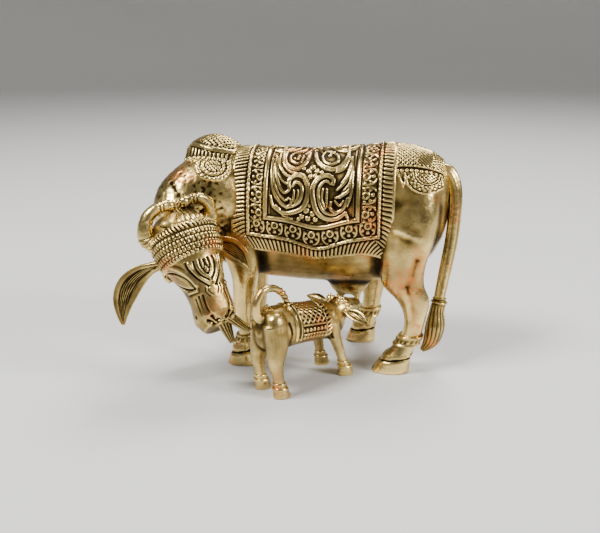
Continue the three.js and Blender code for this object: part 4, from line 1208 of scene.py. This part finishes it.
def build_shoulder_trapping(tree):
    bm = bmesh.new()
    columns, rows = HUMP_GRID
    share = grid_of(bm, columns, rows)
    x = HUMP_FRONT + share[:, 0] * (HUMP_REAR - HUMP_FRONT)
    points, normals = cast_round(tree, x, (share[:, 1] * 2 - 1) * HUMP_TURN, HUMP_AXIS)
    edges = np.array([[v.index for v in e.verts] for e in bm.edges])
    points, normals = relaxed(points, edges, 12), unit(relaxed(normals, edges, 25))
    spine = points.reshape(rows + 1, columns + 1, 3)[:, columns // 2]
    run = np.concatenate([[0], np.cumsum(np.linalg.norm(np.diff(spine, axis=0), axis=1))])
    drop = np.repeat(run - run[rows // 2], columns + 1)
    down = np.abs(drop)
    drawing = Drawing(points, np.stack([x, drop], -1), drop > 0)

    # The pattern ends towards the neck, sooner on the far side, and fades at its lower edge
    limit = drawing.at(181, 156)[0] + 0.35 * np.maximum(down - 6, 0)
    limit = np.where(drop < 0, np.maximum(limit, drawing.at(213, 166)[0] - 5.5), limit)
    height = np.where(x < limit, 2 * PATTERN_FLOOR, shoulder_height(x, down, drawing))
    height = height - 1.2 * np.clip((down - HUMP_FADE) / 2, 0, 1)
    top, under = points + normals * (0.12 + height)[:, None], points + normals * TRAPPING_UNDER
    close_patch(bm, top, under, height > PATTERN_FLOOR)
    return mesh_of(bm, "shoulder_trapping")


CALF_EARS = [
    (in_calf(24.6, 2.9, 18.2), in_calf(25.6, 7.2, 18.6), in_calf(26, 11.4, 16.4), 1.8, (0.5, 0.6, 0.6)),
    (in_calf(23.8, -2.6, 19.6), in_calf(23, -6, 21.4), in_calf(21.6, -9, 20.8), 1.5, (0.5, 0.6, 0.6))]


def calf_leg_place(rows, side, swell=None, low=None, high=None):
    """Function that places the skin of a calf's leg, or of a ring between two heights of it."""
    placed = [(a, side * r, h, p, q) for a, r, h, p, q in rows]
    heights = -np.array([row[2] for row in rows], float)

    def place(t, c, s):
        hub = np.hypot(c, s) < 0.5
        if low is not None:
            t = np.interp(-(high + (low - high) * t), heights, np.arange(len(rows))) / (len(rows) - 1)
        more = 0 if swell is None else np.where(hub, 0, swell)
        ahead, right, height, a, b = rows_at(placed, t).T
        return in_calf((ahead - (b + more) * s)[:, None], (right + (a + more) * c)[:, None], height[:, None])
    return place


def build_calf_body():
    bm = bmesh.new()
    for rows in (CALF_TRUNK, CALF_NECK, CALF_HEAD, [(*row, row[3]) for row in CALF_TAIL[:3]]):
        limb(bm, calf_rows(rows), CALF_RIGHT, 28, 50)
    for side in (-1, 1):
        ball(bm, in_calf(-0.4, side * 2.6, 19.5), (2.9, 3.6, 4.6), (CALF_RIGHT, CALF_AHEAD, UPWARDS))
        ball(bm, in_calf(19.6, side * 2.6, 16.2), (2.7, 3.2, 4.4), (CALF_RIGHT, CALF_AHEAD, UPWARDS))
        for rows in (CALF_HIND, CALF_FORE):
            skin(bm, 24, 40, calf_leg_place(rows, side))
    mesh = fused(bm, "calf_body", sizes().calf_grain, CALF_FILL)
    points, normals, _ = mesh_arrays(mesh)
    height = np.zeros(len(points))
    for width, depth, places in CALF_LINES:
        for side in (-1, 1):
            line = [in_calf(ahead, CALF_FACE + side * (right - CALF_FACE), up) for ahead, right, up in places]
            height += stroke(points, line, width, depth, 0.2)
    set_points(mesh, points + normals * height[:, None])
    return mesh


def blanket_height(ahead, drop):
    """Lattice with borders, a row of beads and a hatched hem."""
    height = 0.3 * lattice(ahead, drop, 1.75) + 0.18 * bead(ahead + drop, ahead - drop, 1.75, 0.5) * 0.5
    rear = 0.3 * cut(ahead - 4.9, 0.22) + 0.3 * cut(ahead - 6.3, 0.25) - 0.05
    fringe = 0.22 * np.cos(2 * math.pi * (drop + 0.5 * ahead) / 1.2) * (ahead > 15.9)
    front = fringe + 0.35 * cut(ahead - 15.5, 0.25)
    height = np.where(ahead < 6.7, rear, np.where(ahead > 15.1, front, height))
    beads = 0.5 * bead(ahead, drop - 8.7, 1.35, 0.6)
    hem = np.where(drop > 9.9, 0.2 * np.cos(2 * math.pi * ahead / 1.1), beads)
    hem = hem + 0.38 * cut(drop - 7.4, 0.28) + 0.35 * cut(drop - 9.9, 0.25) - 0.05
    return np.where((drop > 7.1) & (ahead > 6.7) & (ahead < 15.1), hem, height)


def build_calf_blanket():
    bm = bmesh.new()
    share = grid_of(bm, *BLANKET_GRID)
    ahead = BLANKET_REAR + share[:, 0] * BLANKET_LENGTH
    angle = (share[:, 1] * 2 - 1) * BLANKET_TURN
    place = np.interp(ahead, [row[0] for row in CALF_TRUNK], np.arange(len(CALF_TRUNK))) / (len(CALF_TRUNK) - 1)
    _, _, middle, half, depth = rows_at(CALF_TRUNK, place).T

    def lifted(lift):
        right, up = (half + lift) * np.sin(angle), middle + (depth + lift) * np.cos(angle)
        return in_calf(ahead[:, None], right[:, None], up[:, None])
    height = blanket_height(ahead, np.abs(angle) * BLANKET_GIRTH)
    close_patch(bm, lifted(0.5 + height), lifted(CLOTH_UNDER), np.ones(len(ahead), bool))
    return mesh_of(bm, "calf_blanket")


def build_calf_fittings():
    """Rings over the hooves, horn buds, eyes, headband of beads and the tail with its hatched end."""
    bm = bmesh.new()
    for side in (-1, 1):
        for rows in (CALF_HIND, CALF_FORE):
            for low, high, proud in ((2.4, 3.3, 0.35), (3.7, 4.7, 0.3)):
                def place(t, c, s, rows=rows, side=side, low=low, high=high, proud=proud):
                    swell = proud * np.sqrt(np.clip(np.sin(math.pi * (0.08 + 0.84 * t)), 0, 1))
                    return calf_leg_place(rows, side, swell, low, high)(t, c, s)
                skin(bm, 40, 14, place)
        bud = in_calf(23.8, CALF_FACE + side * 2.0, 21.6)
        ball(bm, bud, (1.15, 1.15, 1.0), segments=20)
        ball(bm, bud + UPWARDS * 0.75, (0.65, 0.65, 0.7), segments=16)
        eye = in_calf(27.2, CALF_FACE + side * 3.0, 19.4)
        ball(bm, eye, (0.75, 0.45, 0.55), (CALF_AHEAD, CALF_RIGHT, UPWARDS))
    for turn in np.linspace(0, 2 * math.pi, 18, endpoint=False):
        right, up = CALF_FACE + 3.6 * math.sin(turn), 18.8 + 3.2 * math.cos(turn)
        ball(bm, in_calf(25.6, right, up), (0.6, 0.6, 0.6), segments=12)

    def hatch(t, angle):
        return 0.14 * np.cos(2 * math.pi * (16 * t + angle / math.pi)) * np.clip((t - 0.72) / 0.05, 0, 1)
    limb(bm, calf_rows([(*row, row[3]) for row in CALF_TAIL]), CALF_RIGHT, 32, 140, relief=hatch)
    return mesh_of(bm, "calf_fittings")


def add_floor(scene):
    """Round floor that bends up into a wall far behind the figure."""
    rim = sizes().floor_size / 2
    bend = 1 - FLAT_SHARE
    bm = bmesh.new()
    bmesh.ops.create_circle(bm, cap_ends=True, segments=96, radius=FLAT_SHARE * rim)
    for step in range(1, BEND_STEPS + WALL_STEPS + 1):
        turn = math.pi / 2 * min(step, BEND_STEPS) / BEND_STEPS
        rise = bend * rim * (1 - math.cos(turn)) + WALL_STEP * rim * max(step - BEND_STEPS, 0)
        width = rim * (FLAT_SHARE + bend * math.sin(turn))
        made = bmesh.ops.extrude_edge_only(bm, edges=[e for e in bm.edges if e.is_boundary])["geom"]
        for vertex in (v for v in made if isinstance(v, bmesh.types.BMVert)):
            vertex.co = (*(Vector(vertex.co[:2]).normalized() * width), rise)
    bmesh.ops.recalc_face_normals(bm, faces=bm.faces)
    if next(f for f in bm.faces if len(f.verts) > 4).normal.z < 0:
        bmesh.ops.reverse_faces(bm, faces=bm.faces)
    floor = bpy.data.objects.new("floor", mesh_of(bm, "floor"))
    scene.collection.objects.link(floor)
    floor.data.polygons.foreach_set("use_smooth", np.ones(len(floor.data.polygons), bool))
    paint = bpy.data.materials.new("pale_floor")
    paint.use_nodes = True
    shader = paint.node_tree.nodes["Principled BSDF"]
    shader.inputs["Base Color"].default_value = (*colours().floor, 1.0)
    shader.inputs["Roughness"].default_value = 0.65
    floor.data.materials.append(paint)


def add_lights(scene):
    """Even grey surroundings and three soft lights."""
    world = bpy.data.worlds.new("studio")
    world.use_nodes = True
    background = world.node_tree.nodes["Background"]
    background.inputs["Color"].default_value = (WORLD_GREY, WORLD_GREY, WORLD_GREY, 1.0)
    background.inputs["Strength"].default_value = WORLD_STRENGTH
    scene.world = world
    for name, place, size, power in LIGHTS:
        light = bpy.data.lights.new(name, "AREA")
        light.size = size
        light.energy = power
        lamp = bpy.data.objects.new(name, light)
        lamp.location = place
        lamp.rotation_euler = (LIT_PLACE - Vector(place)).to_track_quat("-Z", "Y").to_euler()
        scene.collection.objects.link(lamp)


def add_camera(scene):
    camera = bpy.data.objects.new("camera", bpy.data.cameras.new("camera"))
    camera.data.sensor_width = SENSOR
    camera.data.lens = FOCAL_PIXELS / IMAGE_SIZE[0] * SENSOR
    camera.data.clip_start = 0.01
    camera.location = (EYE - FIGURE_MIDDLE) * MM
    camera.rotation_euler = Vector(LOOK).to_track_quat("-Z", "Y").to_euler()
    scene.collection.objects.link(camera)
    scene.camera = camera


def cast_body():
    """The cow's body, which other pieces are laid on."""
    if "cow_body" not in CAST:
        raise RuntimeError("Build the cow's body first")
    return CAST["cow_body"]


class FIGURE_OT_stage(bpy.types.Operator):
    """Pale floor, soft lights and the camera of the photograph"""
    bl_idname = "figure.stage"
    bl_label = "Stage"

    def execute(self, context):
        add_floor(context.scene)
        add_lights(context.scene)
        add_camera(context.scene)
        return {"FINISHED"}


class FIGURE_OT_cow_body(bpy.types.Operator):
    """Cast body of the cow with her legs, hooves and udder"""
    bl_idname = "figure.cow_body"
    bl_label = "Cow body"

    def execute(self, context):
        body = build_cow_body()
        CAST["cow_body"] = body.copy()
        place_piece("cow_body", body, "cow")
        return {"FINISHED"}


class FIGURE_OT_cow_head(bpy.types.Operator):
    """Head with headband, horns, ears, tongue and the tufts of hair behind it"""
    bl_idname = "figure.cow_head"
    bl_label = "Cow head"

    def execute(self, context):
        head = build_cow_head()
        tufts = build_poll_tufts(surface_tree(cast_body(), head))
        place_piece("cow_head", head, "cow")
        place_piece("headband", build_headband(), "cow")
        place_piece("cow_mouth", build_mouth(), "cow")
        place_piece("cow_horns", build_horns(), "cow")
        place_piece("cow_ears", build_ears(EARS), "cow")
        place_piece("poll_tufts", tufts, "cow")
        return {"FINISHED"}


class FIGURE_OT_cow_cloth(bpy.types.Operator):
    """Chased saddlecloth over the cow's back"""
    bl_idname = "figure.cow_cloth"
    bl_label = "Saddlecloth"

    def execute(self, context):
        place_piece("cow_cloth", build_cloth(), "cow")
        return {"FINISHED"}


class FIGURE_OT_cow_trappings(bpy.types.Operator):
    """Chased trappings on the shoulder and the rump"""
    bl_idname = "figure.cow_trappings"
    bl_label = "Trappings"

    def execute(self, context):
        place_piece("rump_trapping", build_rump_trapping(), "cow")
        place_piece("shoulder_trapping", build_shoulder_trapping(surface_tree(cast_body())), "cow")
        return {"FINISHED"}


class FIGURE_OT_cow_tail(bpy.types.Operator):
    """Tail with its tuft, and the anklets"""
    bl_idname = "figure.cow_tail"
    bl_label = "Cow tail and anklets"

    def execute(self, context):
        place_piece("cow_tail", build_tail(), "cow")
        place_piece("cow_anklets", build_anklets(), "cow")
        return {"FINISHED"}


class FIGURE_OT_calf(bpy.types.Operator):
    """Calf with her ears, blanket, rings, horn buds and tail"""
    bl_idname = "figure.calf"
    bl_label = "Calf"

    def execute(self, context):
        place_piece("calf_ears", build_ears(CALF_EARS, 48, 70), "calf")
        place_piece("calf_blanket", build_calf_blanket(), "calf")
        place_piece("calf_fittings", build_calf_fittings(), "calf")
        place_piece("calf_body", build_calf_body(), "calf")
        return {"FINISHED"}


class FIGURE_PT_panel(bpy.types.Panel):
    """Builders of the figure, in order"""
    bl_label = "Cow and calf figure"
    bl_idname = "FIGURE_PT_panel"
    bl_space_type = "VIEW_3D"
    bl_region_type = "UI"
    bl_category = "Figure"

    def draw(self, context):
        for group in (sizes(), colours()):
            for key in group.__annotations__:
                self.layout.prop(group, key)
        for builder in BUILDERS:
            self.layout.operator(builder.bl_idname)


# In the order in which they are run
BUILDERS = (FIGURE_OT_stage, FIGURE_OT_cow_body, FIGURE_OT_cow_head, FIGURE_OT_cow_cloth,
            FIGURE_OT_cow_trappings, FIGURE_OT_cow_tail, FIGURE_OT_calf)
CLASSES = (FigureSizes, FigureColours, *BUILDERS, FIGURE_PT_panel)


def register():
    for made in CLASSES:
        bpy.utils.register_class(made)
    bpy.types.Scene.figure_sizes = bpy.props.PointerProperty(type=FigureSizes)
    bpy.types.Scene.figure_colours = bpy.props.PointerProperty(type=FigureColours)


def unregister():
    del bpy.types.Scene.figure_sizes
    del bpy.types.Scene.figure_colours
    for made in reversed(CLASSES):
        bpy.utils.unregister_class(made)


def main():
    register()
    bpy.ops.figure.stage()
    bpy.ops.figure.cow_body()
    bpy.ops.figure.cow_head()
    bpy.ops.figure.cow_cloth()
    bpy.ops.figure.cow_trappings()
    bpy.ops.figure.cow_tail()
    bpy.ops.figure.calf()


if __name__ == "__main__":
    main()
